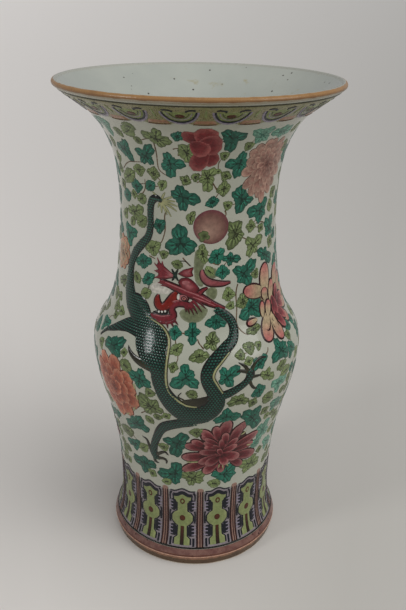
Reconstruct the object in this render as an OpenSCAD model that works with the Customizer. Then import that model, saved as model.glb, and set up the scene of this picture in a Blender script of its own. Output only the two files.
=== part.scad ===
// Yen yen vase: a tall porcelain vase with a spread foot, a full belly and a long trumpet neck.
// It is thrown in three sections that are luted together with slip, then glazed, then enamelled.
// Millimetres, +Z up. The origin is the centre of the ring that the foot stands on.

/* [Outside shape] */
// Height from the resting face to the top of the lip
height = 440; // [425:1:490]
// Outside diameter of the mouth
mouth_d = 240; // [215:1:265]
// Lean of the outside at the lip, in degrees out from upright
lip_lean = 50; // [42:1:56]
// Least diameter of the neck
neck_d = 136; // [122:1:148]
// Height of the least diameter of the neck
neck_z = 336; // [318:1:350]
// Diameter where the shoulder turns into the neck
shoulder_d = 166; // [160:1:174]
// Height where the shoulder turns into the neck
shoulder_z = 239.5; // [234:0.5:250]
// Lean of the outside at the shoulder, in degrees in from upright
shoulder_lean = 32; // [26:1:36]
// Greatest diameter of the belly
belly_d = 191; // [184:1:204]
// Height of the greatest diameter of the belly
belly_z = 207; // [195:1:212]
// Least diameter of the waist above the foot
waist_d = 146; // [138:1:154]
// Height of the least diameter of the waist
waist_z = 53; // [46:1:62]
// Greatest diameter of the spread foot
foot_d = 163; // [160:1:174]
// Height of the greatest diameter of the foot
foot_z = 9; // [7:0.5:11]
// Lean of the outside just above the foot's edge, in degrees in from upright
foot_lean = 6; // [3:1:10]

/* [Wall] */
// Full thickness of the wall at the foot, glazes included
wall_foot = 7.5; // [6:0.1:9]
// Full thickness of the wall at the lip, glazes included
wall_lip = 4.2; // [3.6:0.1:5.2]
// Thickness of the fired glaze
glaze_t = 0.5; // [0.4:0.05:0.8]
// Thickness of the enamels and the brown dressings
enamel_t = 0.3; // [0.2:0.05:0.5]
// Clearance between an enamel or a dressing and what carries it
seat_clear = 0.05; // [0.02:0.01:0.1]

/* [Base] */
// Set-back of the ring that the foot stands on from the foot's edge
ring_inset = 2.2; // [0.5:0.1:4]
// Width of the ring that the foot stands on
ring_w = 9; // [6:0.5:12]
// Depth of the hollow under the base
recess_h = 10; // [7:0.5:13]
// Draft of the hollow's side
recess_draft = 1.5; // [0.5:0.1:3]
// Thickness of the clay floor
floor_t = 9; // [7:0.5:12]
// Radius between the floor and the wall inside
floor_round = 14; // [10:1:18]

/* [Luted joints] */
// Height of the joint between the foot section and the belly section
lower_joint_z = 96; // [90:1:120]
// Height of the joint between the belly section and the neck section
neck_joint_z = 252; // [246:1:268]
// Thickness of the slip in a joint
slip_t = 1.6; // [1:0.1:3]

/* [Brown dressings] */
// Reach of the dressing down the outside of the lip
lip_dressing_out = 1.5; // [1:0.1:2.5]
// Reach of the dressing down the inside of the lip
lip_dressing_in = 1.5; // [1:0.1:3]
// Height of bare clay below the dressing on the foot
bare_foot_h = 1.2; // [0.8:0.1:2]

/* [Painted bands] */
// Bare glaze between the lip's dressing and the border below it
border_gap = 1; // [0.5:0.1:3]
// Height of the border below the lip
border_h = 17; // [12:0.5:22]
// Height of the pink band above the foot's edge
foot_band_h = 8.5; // [6:0.5:11]
// Height of the lappets above the pink band
lappet_h = 65.5; // [55:0.5:70]
// Lappets round the foot
lappet_count = 14; // [10:1:18]
// Width of the upright stripe between two lappets
stripe_w = 5.7; // [4:0.1:8]
// Turn of the first stripe from the front, in degrees
stripe_turn = 4; // [0:1:25]
// Bare glaze between one enamel and the next
enamel_gap = 0.4; // [0.2:0.1:1]

/* [Hidden] */
$fn = 180;

// Steps in each curve of the outline and round the inside corner of the floor
curve_steps = 16;
corner_steps = 8;
// Degrees in each step round the lip
lip_step = 7.5;
// Points of an outline that are closer than this are one point
same_point = 0.001;
// Least height from an end of an outline to its next point
end_clear = 0.01;

biscuit = "#d9d4c8";
slip = "#cfc8b8";
glaze = "#d0d1ca";
brown = "#8a5a2b";
pink = "#b0837f";
lime = "#98a35c";
rose = "#a97f86";
leaf_green = "#8d9564";

// Directions in the outline's plane: along a lean out from upright, and the outward normal of that
function along(lean) = [sin(lean), cos(lean)];
function outward(way) = [way[1], -way[0]];
function unit(v) = v / norm(v);

// The lip is a half round of the wall's own thickness, with its dressing over it
lip_r = wall_lip / 2;
enamel_face = seat_clear + enamel_t;
lip_centre = [mouth_d / 2 - lip_r - enamel_face, height - lip_r - enamel_face];

// Stations of the outside: the point, the lean there, and the pull of the curve below and above it.
// A pull is a share of the height to the station on that side
STATIONS = [
    [[foot_d / 2, foot_z], -foot_lean, 0, 0.29],
    [[waist_d / 2, waist_z], 0, 0.75, 0.58],
    [[belly_d / 2, belly_z], 0, 0.30, 0.42],
    [[shoulder_d / 2, shoulder_z], -shoulder_lean, 0.54, 0.27],
    [[neck_d / 2, neck_z], 0, 0.15, 0.75],
    [lip_centre + outward(along(lip_lean)) * lip_r, lip_lean, 0.30, 0],
];
LAST = len(STATIONS) - 1;
lip_edge_z = STATIONS[LAST][0][1];

// Poles of the cubic curve from station i to the next, and the curve and its direction at t
function span(i) = STATIONS[i + 1][0][1] - STATIONS[i][0][1];
function poles(i) = [
    STATIONS[i][0],
    STATIONS[i][0] + along(STATIONS[i][1]) * STATIONS[i][3] * span(i),
    STATIONS[i + 1][0] - along(STATIONS[i + 1][1]) * STATIONS[i + 1][2] * span(i),
    STATIONS[i + 1][0],
];
function cubic(p, t) =
    pow(1 - t, 3) * p[0] + 3 * pow(1 - t, 2) * t * p[1] + 3 * (1 - t) * t * t * p[2] + pow(t, 3) * p[3];
function cubic_way(p, t) =
    pow(1 - t, 2) * (p[1] - p[0]) + 2 * (1 - t) * t * (p[2] - p[1]) + t * t * (p[3] - p[2]);

// The wall thins evenly from the foot's edge to the lip
function wall(z) = wall_foot + (wall_lip - wall_foot) * (z - foot_z) / (lip_edge_z - foot_z);

// A place on the outside is its point, its outward normal, and that normal as long as the wall is thick
function place(i, t) =
    let (point = cubic(poles(i), t), normal = outward(unit(cubic_way(poles(i), t))))
        [point, normal, normal * wall(point[1])];
OUTSIDE = concat(
    [for (i = [0 : LAST - 1], k = [0 : curve_steps - 1]) place(i, k / curve_steps)],
    [place(LAST - 1, 1)]
);
function place_z(k) = OUTSIDE[k][0][1];
// The place at a height, on the straight step between two places
function place_at(z, k = 0) =
    k < len(OUTSIDE) - 2 && place_z(k + 1) <= z ? place_at(z, k + 1)
    : let (share = (z - place_z(k)) / (place_z(k + 1) - place_z(k)))
        OUTSIDE[k] * (1 - share) + OUTSIDE[k + 1] * share;
// Places from one height to another, with both ends exact
function places(z0, z1) = concat(
    [place_at(z0)],
    [for (p = OUTSIDE) if (p[0][1] > z0 + end_clear && p[0][1] < z1 - end_clear) p],
    [place_at(z1)]
);

// Outlines at a depth below the outside, and at a depth below the inside
function below_outside(z0, z1, depth) = [for (p = places(z0, z1)) p[0] - p[1] * depth];
function below_inside(z0, z1, depth) = [for (p = places(z0, z1)) p[0] - p[2] + p[1] * depth];
function backwards(points) = [for (i = [len(points) - 1 : -1 : 0]) points[i]];
// The lip's round at a depth, in degrees from the outside over to the inside
function lip_round(depth, from, to) = [
    for (a = [from : to > from ? lip_step : -lip_step : to])
        lip_centre + (lip_r - depth) * [cos(a - lip_lean), sin(a - lip_lean)]
];

// Floor and hollow of the base, and the inside corner from the wall down to the floor's edge
floor_z = recess_h + floor_t;
corner_z = floor_z + floor_round;
ring_r = foot_d / 2 - ring_inset;
recess_r = ring_r - ring_w;
recess_top_r = recess_r - recess_draft;
function floor_level(depth) = floor_z + glaze_t - depth;
function inside_corner(depth) =
    let (top = below_inside(corner_z, waist_z, depth)[0], drop = top[1] - floor_level(depth))
        [
            for (k = [0 : corner_steps])
                let (a = 90 * k / corner_steps)
                    [top[0] + floor_round * (cos(a) - 1), floor_level(depth) + drop * (1 - sin(a))]
        ];
function inside_floor(depth) = concat(inside_corner(depth), [[0, floor_level(depth)]]);

// A turned piece, from an outline with each repeated point dropped
module turned(points, angle = 360) {
    kept = [
        for (i = [0 : len(points) - 1])
            if (norm(points[i] - points[(i + 1) % len(points)]) > same_point) points[i]
    ];
    rotate_extrude(angle = angle) polygon(kept);
}
// Clay between the two glazes from one height to another
module clay_wall(z0, z1) {
    turned(concat(below_outside(z0, z1, glaze_t), backwards(below_inside(z0, z1, glaze_t))));
}
// Enamel on the outside glaze from one height to another
module enamel(z0, z1, angle = 360) {
    outline = concat(below_outside(z0, z1, -enamel_face), backwards(below_outside(z0, z1, -seat_clear)));
    turned(outline, angle);
}

// Ends of each section beside its slip
foot_top_z = lower_joint_z - slip_t / 2;
belly_low_z = lower_joint_z + slip_t / 2;
belly_top_z = neck_joint_z - slip_t / 2;
neck_low_z = neck_joint_z + slip_t / 2;

module foot_section() color(biscuit) turned(concat(
    [[recess_r, 0], [ring_r, 0], foot_dressing_low],
    below_outside(foot_z, foot_top_z, glaze_t),
    backwards(below_inside(corner_z, foot_top_z, glaze_t)),
    inside_floor(glaze_t),
    [[0, recess_h], [recess_top_r, recess_h]]
));

module belly_section() color(biscuit) clay_wall(belly_low_z, belly_top_z);

module neck_section() color(biscuit) turned(concat(
    below_outside(neck_low_z, lip_edge_z, glaze_t),
    lip_round(glaze_t, 0, 180),
    backwards(below_inside(neck_low_z, lip_edge_z, glaze_t))
));

// Slip that lutes each section to the next
module lower_luting_slip() color(slip) clay_wall(foot_top_z, belly_low_z);

module neck_luting_slip() color(slip) clay_wall(belly_top_z, neck_low_z);

// Glazes: the outside and the inside one meet on the crown of the lip
lip_crown = 90;
module outer_glaze() color(glaze) turned(concat(
    below_outside(foot_z, lip_edge_z, 0),
    lip_round(0, 0, lip_crown),
    lip_round(glaze_t, lip_crown, 0),
    backwards(below_outside(foot_z, lip_edge_z, glaze_t))
));

module inner_glaze() color(glaze) turned(concat(
    lip_round(glaze_t, lip_crown, 180),
    backwards(below_inside(corner_z, lip_edge_z, glaze_t)),
    inside_floor(glaze_t),
    backwards(inside_floor(0)),
    below_inside(corner_z, lip_edge_z, 0),
    lip_round(0, 180, lip_crown)
));

module base_glaze() color(glaze) turned([
    [0, recess_h - glaze_t],
    [recess_top_r, recess_h - glaze_t],
    [recess_top_r, recess_h],
    [0, recess_h],
]);

// Brown dressings on the lip and on the foot's edge
lip_dressing_low_z = lip_edge_z - lip_dressing_out * cos(lip_lean);
lip_dressing_in_z = lip_edge_z - lip_dressing_in * cos(lip_lean);
module lip_dressing() color(brown) turned(concat(
    below_outside(lip_dressing_low_z, lip_edge_z, -enamel_face),
    lip_round(-enamel_face, 0, 180),
    backwards(below_inside(lip_dressing_in_z, lip_edge_z, -enamel_face)),
    below_inside(lip_dressing_in_z, lip_edge_z, -seat_clear),
    lip_round(-seat_clear, 180, 0),
    backwards(below_outside(lip_dressing_low_z, lip_edge_z, -seat_clear))
));

// Clay edge of the foot, and the point on the slope below it where the foot's dressing ends
foot_edge = below_outside(foot_z, waist_z, glaze_t)[0];
foot_dressing_low = [ring_r, 0] + (foot_edge - [ring_r, 0]) * bare_foot_h / foot_edge[1];
module foot_dressing() color(brown) turned([
    foot_dressing_low + [seat_clear, 0],
    foot_dressing_low + [enamel_face, 0],
    foot_edge + [enamel_face, 0],
    foot_edge + [seat_clear, 0],
]);

// Painted bands
border_top_z = lip_dressing_low_z - border_gap;
module rim_border_enamel() color(leaf_green) enamel(border_top_z - border_h, border_top_z);

foot_band_top_z = foot_z + foot_band_h;
module foot_band_enamel() color(pink) enamel(foot_z, foot_band_top_z);

// Lappets and stripes share the round, with a gap on each side of a stripe
lappet_low_z = foot_band_top_z + enamel_gap;
lappet_top_z = lappet_low_z + lappet_h;
lappet_pitch = 360 / lappet_count;
function waist_angle(width) = width / (waist_d / 2) * 180 / PI;
stripe_angle = waist_angle(stripe_w);
gap_angle = waist_angle(enamel_gap);
front = -90;
module round_the_foot(angle, turn) {
    for (i = [0 : lappet_count - 1])
        rotate(front + stripe_turn + i * lappet_pitch + turn) enamel(lappet_low_z, lappet_top_z, angle);
}

module lappet_stripe_enamel() color(rose) round_the_foot(stripe_angle, -stripe_angle / 2);

module lappet_panel_enamel() color(lime)
    round_the_foot(lappet_pitch - stripe_angle - 2 * gap_angle, stripe_angle / 2 + gap_angle);

foot_section();
belly_section();
neck_section();
lower_luting_slip();
neck_luting_slip();
outer_glaze();
inner_glaze();
base_glaze();
lip_dressing();
foot_dressing();
rim_border_enamel();
lappet_panel_enamel();
lappet_stripe_enamel();
foot_band_enamel();
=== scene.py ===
"""Looks of a yen yen vase: porcelain, glaze and painted enamels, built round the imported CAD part."""

import logging
import math
from collections.abc import Iterable, Sequence
from dataclasses import dataclass, field
from enum import Enum
from random import Random

import bpy
import numpy as np
from mathutils import Matrix, Vector
from mathutils.kdtree import KDTree


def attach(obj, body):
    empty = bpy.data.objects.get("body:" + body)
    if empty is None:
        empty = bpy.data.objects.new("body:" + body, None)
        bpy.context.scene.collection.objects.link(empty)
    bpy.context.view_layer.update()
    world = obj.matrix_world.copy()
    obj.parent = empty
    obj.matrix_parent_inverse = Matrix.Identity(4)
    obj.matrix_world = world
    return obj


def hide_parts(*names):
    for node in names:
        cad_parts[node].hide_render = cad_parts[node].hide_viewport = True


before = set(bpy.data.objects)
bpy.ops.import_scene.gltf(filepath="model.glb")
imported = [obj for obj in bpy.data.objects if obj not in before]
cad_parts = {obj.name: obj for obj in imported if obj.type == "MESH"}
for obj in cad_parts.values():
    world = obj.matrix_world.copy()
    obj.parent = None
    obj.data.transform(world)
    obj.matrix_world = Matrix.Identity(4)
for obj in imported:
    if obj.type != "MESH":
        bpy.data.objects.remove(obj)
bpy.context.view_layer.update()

MM = 0.001
LOG = logging.getLogger("yen_yen_vase")

Array = np.ndarray
Socket = bpy.types.NodeSocket
Material = bpy.types.Material
Piece = bpy.types.Object
Colour = tuple[float, float, float]
Pair = tuple[float, float]
# A spot on the outside: degrees round the vase from the front, to the right, and millimetres of height
Spot = tuple[float, float]
# One place on a brush stroke: a spot and the stroke's width in millimetres
Touch = tuple[float, float, float]
Path = Sequence[Touch]
# What an input of a shader node may get
Fed = Socket | float | Sequence[float]


def srgb(red: float, green: float, blue: float) -> Colour:
    """Turns a colour of 0 to 255 into the linear values that the shaders use."""
    shares = (red / 255, green / 255, blue / 255)
    return tuple(s / 12.92 if s < 0.04045 else ((s + 0.055) / 1.055) ** 2.4 for s in shares)


class Paint(Enum):
    """The painter's colours, as red, green and blue from 0 to 255."""

    TEAL = 28, 86, 69
    TEAL_DEEP = 4, 40, 29
    SAGE = 80, 118, 100
    LIME = 92, 105, 65
    LIME_DEEP = 36, 42, 18
    TWIG = 84, 66, 44
    INK = 16, 13, 9
    OLIVE = 98, 104, 76
    OLIVE_DEEP = 48, 46, 26
    OLIVE_PALE = 120, 124, 100
    YELLOW = 148, 148, 106
    WHITE = 196, 194, 184
    CLOUD = 184, 180, 170
    RED = 106, 32, 35
    RED_PALE = 138, 76, 72
    RED_DEEP = 82, 14, 18
    CRIMSON = 108, 31, 39
    CRIMSON_PALE = 150, 90, 92
    CRIMSON_DEEP = 40, 6, 6
    ORANGE_RED = 110, 20, 8
    CORAL = 146, 70, 46
    CORAL_PALE = 178, 118, 92
    CORAL_DEEP = 90, 30, 16
    PLUM = 103, 33, 39
    PLUM_PALE = 152, 100, 97
    PLUM_DEEP = 46, 7, 7
    BLUSH = 136, 98, 86
    BLUSH_PALE = 158, 128, 112
    BLUSH_DEEP = 82, 44, 36
    CREAM = 160, 142, 112
    CREAM_DEEP = 66, 42, 26
    ROSE = 166, 96, 92
    PEACH = 108, 74, 66
    PEACH_EDGE = 96, 46, 54
    SCALE = 25, 74, 60
    SCALE_DEEP = 4, 15, 10
    NAVY = 12, 15, 26
    NAVY_PALE = 128, 120, 134
    LILAC = 126, 118, 122
    PANEL = 120, 130, 82
    PANEL_DEEP = 96, 104, 50
    PANEL_PALE = 136, 141, 96
    STRIPE = 136, 106, 94
    STRIPE_LINE = 42, 10, 8
    # A highlight painted along the foot's edge
    FOOT_HIGHLIGHT = 186, 145, 120
    FOOT_DEEP = 84, 44, 26
    RUSSET = 74, 32, 8
    BORDER_PINK = 142, 106, 82

    @property
    def colour(self) -> Colour:
        """The linear colour."""
        return srgb(*self.value)


def blend(first: Array | Colour, second: Array | Colour, share: Array | float) -> Array:
    """Mixes two colours by the share of the second, which adds one axis to the share's own."""
    weight = np.asarray(share, float)[..., None]
    return np.asarray(first) * (1 - weight) + np.asarray(second) * weight


def spline(points: Sequence[Sequence[float]], step: float) -> Array:
    """Runs a smooth curve through points and samples it.

    Args:
        points: Rows of numbers; the first two columns set the distance between rows.
        step: Greatest distance between two samples.

    Returns:
        The sampled rows, with the first and the last point among them.
    """
    rows = np.asarray(points, float)
    padded = np.vstack([2 * rows[0] - rows[1], rows, 2 * rows[-1] - rows[-2]])
    samples = []
    for before, start, end, after in zip(padded, padded[1:], padded[2:], padded[3:]):
        count = max(2, math.ceil(math.dist(start[:2], end[:2]) / step))
        t = np.arange(count)[:, None] / count
        pull = 2 * start + (end - before) * t
        pull = pull + (2 * before - 5 * start + 4 * end - after) * t**2
        samples.append((pull + (3 * start - before - 3 * end + after) * t**3) / 2)
    return np.vstack([*samples, rows[-1:]])


def tinted(colour: Colour, share: float) -> Colour:
    """Returns a colour times a share."""
    return tuple(c * share for c in colour)


def ring(count: int) -> Array:
    """Returns points evenly spaced round a circle of radius 1, as rows of across and up."""
    turn = np.linspace(0, 2 * math.pi, count, endpoint=False)
    return np.column_stack([np.cos(turn), np.sin(turn)])


def quads(net: Array) -> list[list[int]]:
    """Returns the four corners of each face of a net of point numbers."""
    return np.stack([net[:-1, :-1], net[:-1, 1:], net[1:, 1:], net[1:, :-1]], -1).reshape(-1, 4).tolist()


def stand(name: str, data: bpy.types.ID) -> Piece:
    """Puts a mesh, a lamp or a camera into the scene.

    Args:
        name: Name of the object.
        data: What the object shows.

    Returns:
        The object.
    """
    thing = bpy.data.objects.new(name, data)
    bpy.context.scene.collection.objects.link(thing)
    return thing


def mesh_piece(name: str, points: Array, faces: Sequence[Sequence[int]], material: Material) -> Piece:
    """Makes a smooth mesh.

    Args:
        name: Name of the object.
        points: The points in metres, as rows.
        faces: The numbers of each face's points.
        material: Its finish.

    Returns:
        The object.
    """
    mesh = bpy.data.meshes.new(name)
    mesh.from_pydata(points.tolist(), [], faces)
    mesh.shade_smooth()
    mesh.materials.append(material)
    return stand(name, mesh)


class Skin:
    """The glazed outside of the vase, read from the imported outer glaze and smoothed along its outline."""

    def __init__(self, node: Piece, outward_share: float = 0.3, step: float = 0.5) -> None:
        """Reads the rings of the node's outer faces.

        Args:
            node: The CAD node of the outer glaze.
            outward_share: Least radial part of a face's normal for it to count as outside.
            step: Sampling step of the smoothed outline, in millimetres.
        """
        rings: dict[int, Pair] = {}
        for face in node.data.polygons:
            across = Vector((face.center.x, face.center.y, 0)).normalized()
            if face.normal.dot(across) < outward_share:
                continue
            for index in face.vertices:
                x, y, z = node.data.vertices[index].co / MM
                key = round(z * 10)
                rings[key] = max(rings.get(key, (0, 0)), (math.hypot(x, y), z))
        outline = spline([rings[key] for key in sorted(rings)], step)
        run = np.gradient(outline, axis=0)
        run /= np.linalg.norm(run, axis=1, keepdims=True)
        self._radius, self._height = outline.T
        self._outward, self._upward = run[:, 1], -run[:, 0]

    def degree(self, height: Array | float) -> Array:
        """Returns how many millimetres one degree of the round measures at a height."""
        return np.interp(height, self._height, self._radius) * math.pi / 180

    def steepness(self, height: Array | float) -> Array:
        """Returns how much height a millimetre along the outline gains at a height."""
        return np.interp(height, self._height, self._outward)

    def unit(self, height: float) -> Array:
        """Returns how many millimetres a degree and a millimetre of height measure along the outside."""
        return np.array([self.degree(height), 1 / self.steepness(height)])

    def place(self, angle: Array, height: Array, lift: Array) -> Array:
        """Finds points on or over the outside.

        Args:
            angle: Degrees round the vase.
            height: Heights in millimetres.
            lift: Heights above the glaze in millimetres.

        Returns:
            The points in metres, with one more axis than the inputs.
        """
        turn = np.radians(angle)
        reach = np.interp(height, self._height, self._radius)
        reach = reach + lift * np.interp(height, self._height, self._outward)
        rise = height + lift * np.interp(height, self._height, self._upward)
        return np.stack([reach * np.sin(turn), -reach * np.cos(turn), rise], -1) * MM


@dataclass(frozen=True)
class Tones:
    """The colours of one brush mark: at its start or heart, at its end, and at its edge."""

    start: Colour
    end: Colour
    edge: Colour

    @staticmethod
    def of(start: Paint, end: Paint | None = None, edge: Paint | None = None) -> "Tones":
        """Makes tones of named paints, where a missing one is the one before it."""
        end = end or start
        return Tones(start.colour, end.colour, (edge or end).colour)

    def shifted(self, amount: float) -> "Tones":
        """Returns the tones lighter or darker by a share."""
        return Tones(*(tinted(tone, 1 + amount) for tone in (self.start, self.end, self.edge)))


@dataclass
class EnamelSheet:
    """Collects brush marks as thin raised enamel on the glaze and makes one mesh of them."""

    skin: Skin
    _points: list[Array] = field(default_factory=list)
    _colours: list[Array] = field(default_factory=list)
    _faces: list[list[int]] = field(default_factory=list)
    _count: int = 0

    # How far the edge of a mark reaches into the glaze
    SINK = 0.04
    # Places across a stroke, from one edge to the other
    ACROSS = np.array([-1, -0.8, -0.42, 0, 0.42, 0.8, 1])
    # The same across a fine line
    FINE = np.array([-1, 0, 1])
    # Height of a fine line at those places, over what it is drawn on
    RIDGE = np.array([-0.03, 0.06, -0.03])
    # Rings of a patch, from the heart to the edge
    SHARES = np.array([0.34, 0.66, 0.88, 1.0])
    # Places across a column, from its left edge to its right, and the height of its rows
    COLUMN = np.array([0, 0.03, 0.2, 0.4, 0.6, 0.8, 0.97, 1])
    COLUMN_STEP = 3.0
    # Faces of a painted line right round the vase
    HOOP_TURNS = 240
    # Where a flush starts on the way out, how far it takes to be full, and how narrow it is
    FLUSH_START = 0.42
    FLUSH_RUN = 0.48
    FLUSH_POWER = 1.3
    # A petal's middle and half length as shares of its length, its swelling past the middle and its ruffles
    PETAL_MIDDLE = 0.46
    PETAL_HALF = 0.54
    PETAL_SWELL = 0.22
    PETAL_RUFFLES = 9

    def points(self) -> Array:
        """Returns every point so far, in metres, as rows."""
        return np.vstack(self._points)

    def _add(self, points: Array, colours: Array) -> int:
        """Stores points.

        Args:
            points: The points in metres.
            colours: Their colours.

        Returns:
            The first one's number.
        """
        first = self._count
        self._points.append(points.reshape(-1, 3))
        self._colours.append(np.broadcast_to(colours, points.shape).reshape(-1, 3))
        self._count += len(self._points[-1])
        return first

    def sunk(self, shape: tuple[int, ...], lift: Array | float, sides: bool = True) -> Array:
        """Spreads a lift over a net and sinks its edges into the glaze.

        Args:
            shape: Rows and columns of the net.
            lift: The lift, for the whole net or for each column.
            sides: Whether the first and the last column sink, besides the first and the last row.

        Returns:
            The lifts, in rows and columns.
        """
        rise = np.broadcast_to(lift, shape).copy()
        rise[[0, -1]] = -self.SINK
        if sides:
            rise[:, [0, -1]] = -self.SINK
        return rise

    def grid(self, angle: Array, height: Array, lift: Array, colours: Array, closed: bool = False) -> Array:
        """Adds a net of faces.

        Args:
            angle: Degrees round the vase, in rows and columns.
            height: Heights, in the same rows and columns.
            lift: Lifts, in the same rows and columns.
            colours: Colours, in the same rows and columns.
            closed: Whether the last column joins the first.

        Returns:
            The numbers of the points, in rows and columns.
        """
        angle, height, lift = np.broadcast_arrays(angle, height, lift)
        first = self._add(self.skin.place(angle, height, lift), colours)
        numbers = first + np.arange(angle.size).reshape(angle.shape)
        net = np.column_stack([numbers, numbers[:, :1]]) if closed else numbers
        self._faces.extend(quads(net))
        return numbers

    def _ribbon(self, path: Path, step: float, across: Array) -> tuple[Array, Array]:
        """Lays a ribbon along a path.

        Args:
            path: Its touches.
            step: Greatest distance between samples.
            across: Places across the ribbon, from -1 at one edge to 1 at the other.

        Returns:
            The angles and the heights of its points, in rows along it and columns across it.
        """
        line = spline(path, step)
        width = np.maximum(line[:, 2:], 0.05)
        scale = self.skin.degree(line[:, 1])[:, None]
        steep = self.skin.steepness(line[:, 1])[:, None]
        along = np.gradient(line[:, :2], axis=0) * np.hstack([scale, 1 / steep])
        along /= np.linalg.norm(along, axis=1, keepdims=True) + 1e-9
        offset = across * width / 2
        return line[:, :1] - along[:, 1:] * offset / scale, line[:, 1:2] + along[:, :1] * offset * steep

    def stroke(
        self, path: Path, tones: Tones, lift: float, crown: float = 0.12, step: float = 1.6
    ) -> None:
        """Adds a brush stroke along a path.

        Args:
            path: Its touches.
            tones: Its colours.
            lift: Thickness near its edge.
            crown: What its middle adds to that.
            step: Greatest distance between samples.
        """
        angle, height = self._ribbon(path, step, self.ACROSS)
        rise = self.sunk(angle.shape, lift + crown * (1 - self.ACROSS**2))
        share = np.linspace(0, 1, len(angle))[:, None]
        colours = blend(blend(tones.start, tones.end, share), tones.edge, 0.75 * np.abs(self.ACROSS) ** 3)
        self.grid(angle, height, rise, colours)

    def line(
        self, path: Path, tones: Tones, lift: float = 0.0, end_lift: float = 0.0, step: float = 2.4
    ) -> None:
        """Draws a fine line, a low ridge on what is there already.

        Args:
            path: Its touches.
            tones: Colours at the start and the end.
            lift: Thickness of the enamel that it is drawn on.
            end_lift: The same at the line's end.
            step: Greatest distance between samples.
        """
        angle, height = self._ribbon(path, step, self.FINE)
        share = np.linspace(0, 1, len(angle))[:, None]
        under = lift + share * (end_lift - lift)
        self.grid(angle, height, under + self.RIDGE, blend(tones.start, tones.end, share))

    def patch(
        self,
        centre: Spot,
        rim: Array,
        tones: Tones,
        lift: float,
        crown: float,
        shares: Array = SHARES,
        foot: float = -SINK,
        turnover: float = 0.66,
        flush: Paint | None = None,
    ) -> None:
        """Adds a patch of enamel with a crowned middle.

        Args:
            centre: The spot that the rim is measured from.
            rim: The outline in millimetres, to the right and up, as rows.
            tones: Colours at the heart, at the turnover and at the edge.
            lift: Thickness near its edge.
            crown: What its heart adds to that.
            shares: The patch's rings, as shares of the way out to the rim.
            foot: Height of the rim itself.
            turnover: Share of the way out where the patch starts to turn to the colour of its edge.
            flush: Colour that the patch turns to on the side of the rim's first point.
        """
        out = shares[:, None]
        angle = centre[0] + out * rim[:, 0] / self.skin.degree(centre[1])
        height = centre[1] + out * rim[:, 1] * self.skin.steepness(centre[1])
        rise = np.where(out == 1, foot, lift + crown * (1 - out**2))
        inner = blend(tones.start, tones.end, np.clip(shares / turnover, 0, 1))
        colours = blend(inner, tones.edge, np.clip((shares - turnover) / (1 - turnover), 0, 1))[:, None]
        if flush:
            side = np.clip(ring(len(rim))[:, 0], 0, 1) ** self.FLUSH_POWER
            gain = np.clip((out - self.FLUSH_START) / self.FLUSH_RUN, 0, 1) * side
            colours = blend(colours, flush.colour, gain)
        numbers = self.grid(angle, height, rise, colours, closed=True)
        heart = self.skin.place(np.array(centre[0]), np.array(centre[1]), np.array(lift + crown))
        middle = self._add(heart, np.asarray(tones.start))
        first = numbers[0].tolist()
        self._faces.extend([middle, a, b] for a, b in zip(first, first[1:] + first[:1]))

    def petal(
        self,
        root: Spot,
        tip: Spot,
        width: float,
        tones: Tones,
        lift: float,
        foot: float = -SINK,
        wave: float = 0.0,
        flush: Paint | None = None,
    ) -> None:
        """Adds a rounded petal that grows from a root and is widest past its middle.

        Args:
            root: Where it grows from.
            tip: Its end.
            width: Its width in millimetres.
            tones: Colours at the root, past the middle and at the rim.
            lift: Thickness of the enamel near the rim.
            foot: Height of the rim itself.
            wave: How ruffled the rim is.
            flush: Colour of its tip, if that is another one.
        """
        run = np.subtract(tip, root) * self.skin.unit(root[1])
        length = math.hypot(*run)
        turn = np.linspace(0, 2 * math.pi, 28 if length > 9 else 18, endpoint=False)
        ruffle = 1 + wave * np.sin(self.PETAL_RUFFLES * turn + length)
        ahead = length * (self.PETAL_MIDDLE + self.PETAL_HALF * np.cos(turn)) * ruffle
        aside = width / 2 * np.sin(turn) * (1 + self.PETAL_SWELL * np.cos(turn)) * ruffle
        forward = run / length
        rim = ahead[:, None] * forward + aside[:, None] * np.array([-forward[1], forward[0]])
        self.patch(root, rim, tones, lift, 0.1, foot=foot, flush=flush)

    def blob(self, spots: Sequence[Spot], tones: Tones, lift: float, crown: float) -> None:
        """Adds a patch inside a smooth outline.

        Args:
            spots: Spots that the outline runs through.
            tones: Its colours.
            lift: Thickness near its edge.
            crown: What its heart adds to that.
        """
        centre = np.mean(spots, 0)
        outline = spline([*spots, spots[0]], 1.5)[:-1]
        self.patch(tuple(centre), (outline - centre) * self.skin.unit(centre[1]), tones, lift, crown)

    def oval(self, centre: Spot, half: Pair, tones: Tones, lift: float, crown: float = 0.12) -> None:
        """Adds an oval patch, with its half size in degrees and millimetres of height."""
        rim = ring(48 if half[1] > 5 else 20) * half * self.skin.unit(centre[1])
        self.patch(centre, rim, tones, lift, crown)

    def column(self, rows: Sequence[Sequence[float]], turn: float, tones: Tones, lift: float) -> None:
        """Adds a field between a left and a right edge.

        Args:
            rows: Height, left angle and right angle at each corner of the edges, from the bottom up.
            turn: Degrees that the field is turned round the vase.
            tones: Colours at the bottom, the top and the edges.
            lift: Thickness of the enamel.
        """
        corners = np.asarray(rows, float)
        steps = np.arange(corners[0, 0], corners[-1, 0], self.COLUMN_STEP)
        height = np.unique(np.concatenate([steps, corners[:, 0]]))
        left, right = (np.interp(height, corners[:, 0], side)[:, None] for side in corners.T[1:])
        angle = turn + left + (right - left) * self.COLUMN
        up = np.linspace(0, 1, len(height))[:, None]
        colours = blend(blend(tones.start, tones.end, up), tones.edge, (2 * np.abs(self.COLUMN - 0.5)) ** 4)
        self.grid(angle, height[:, None], self.sunk(angle.shape, lift), colours)

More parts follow.
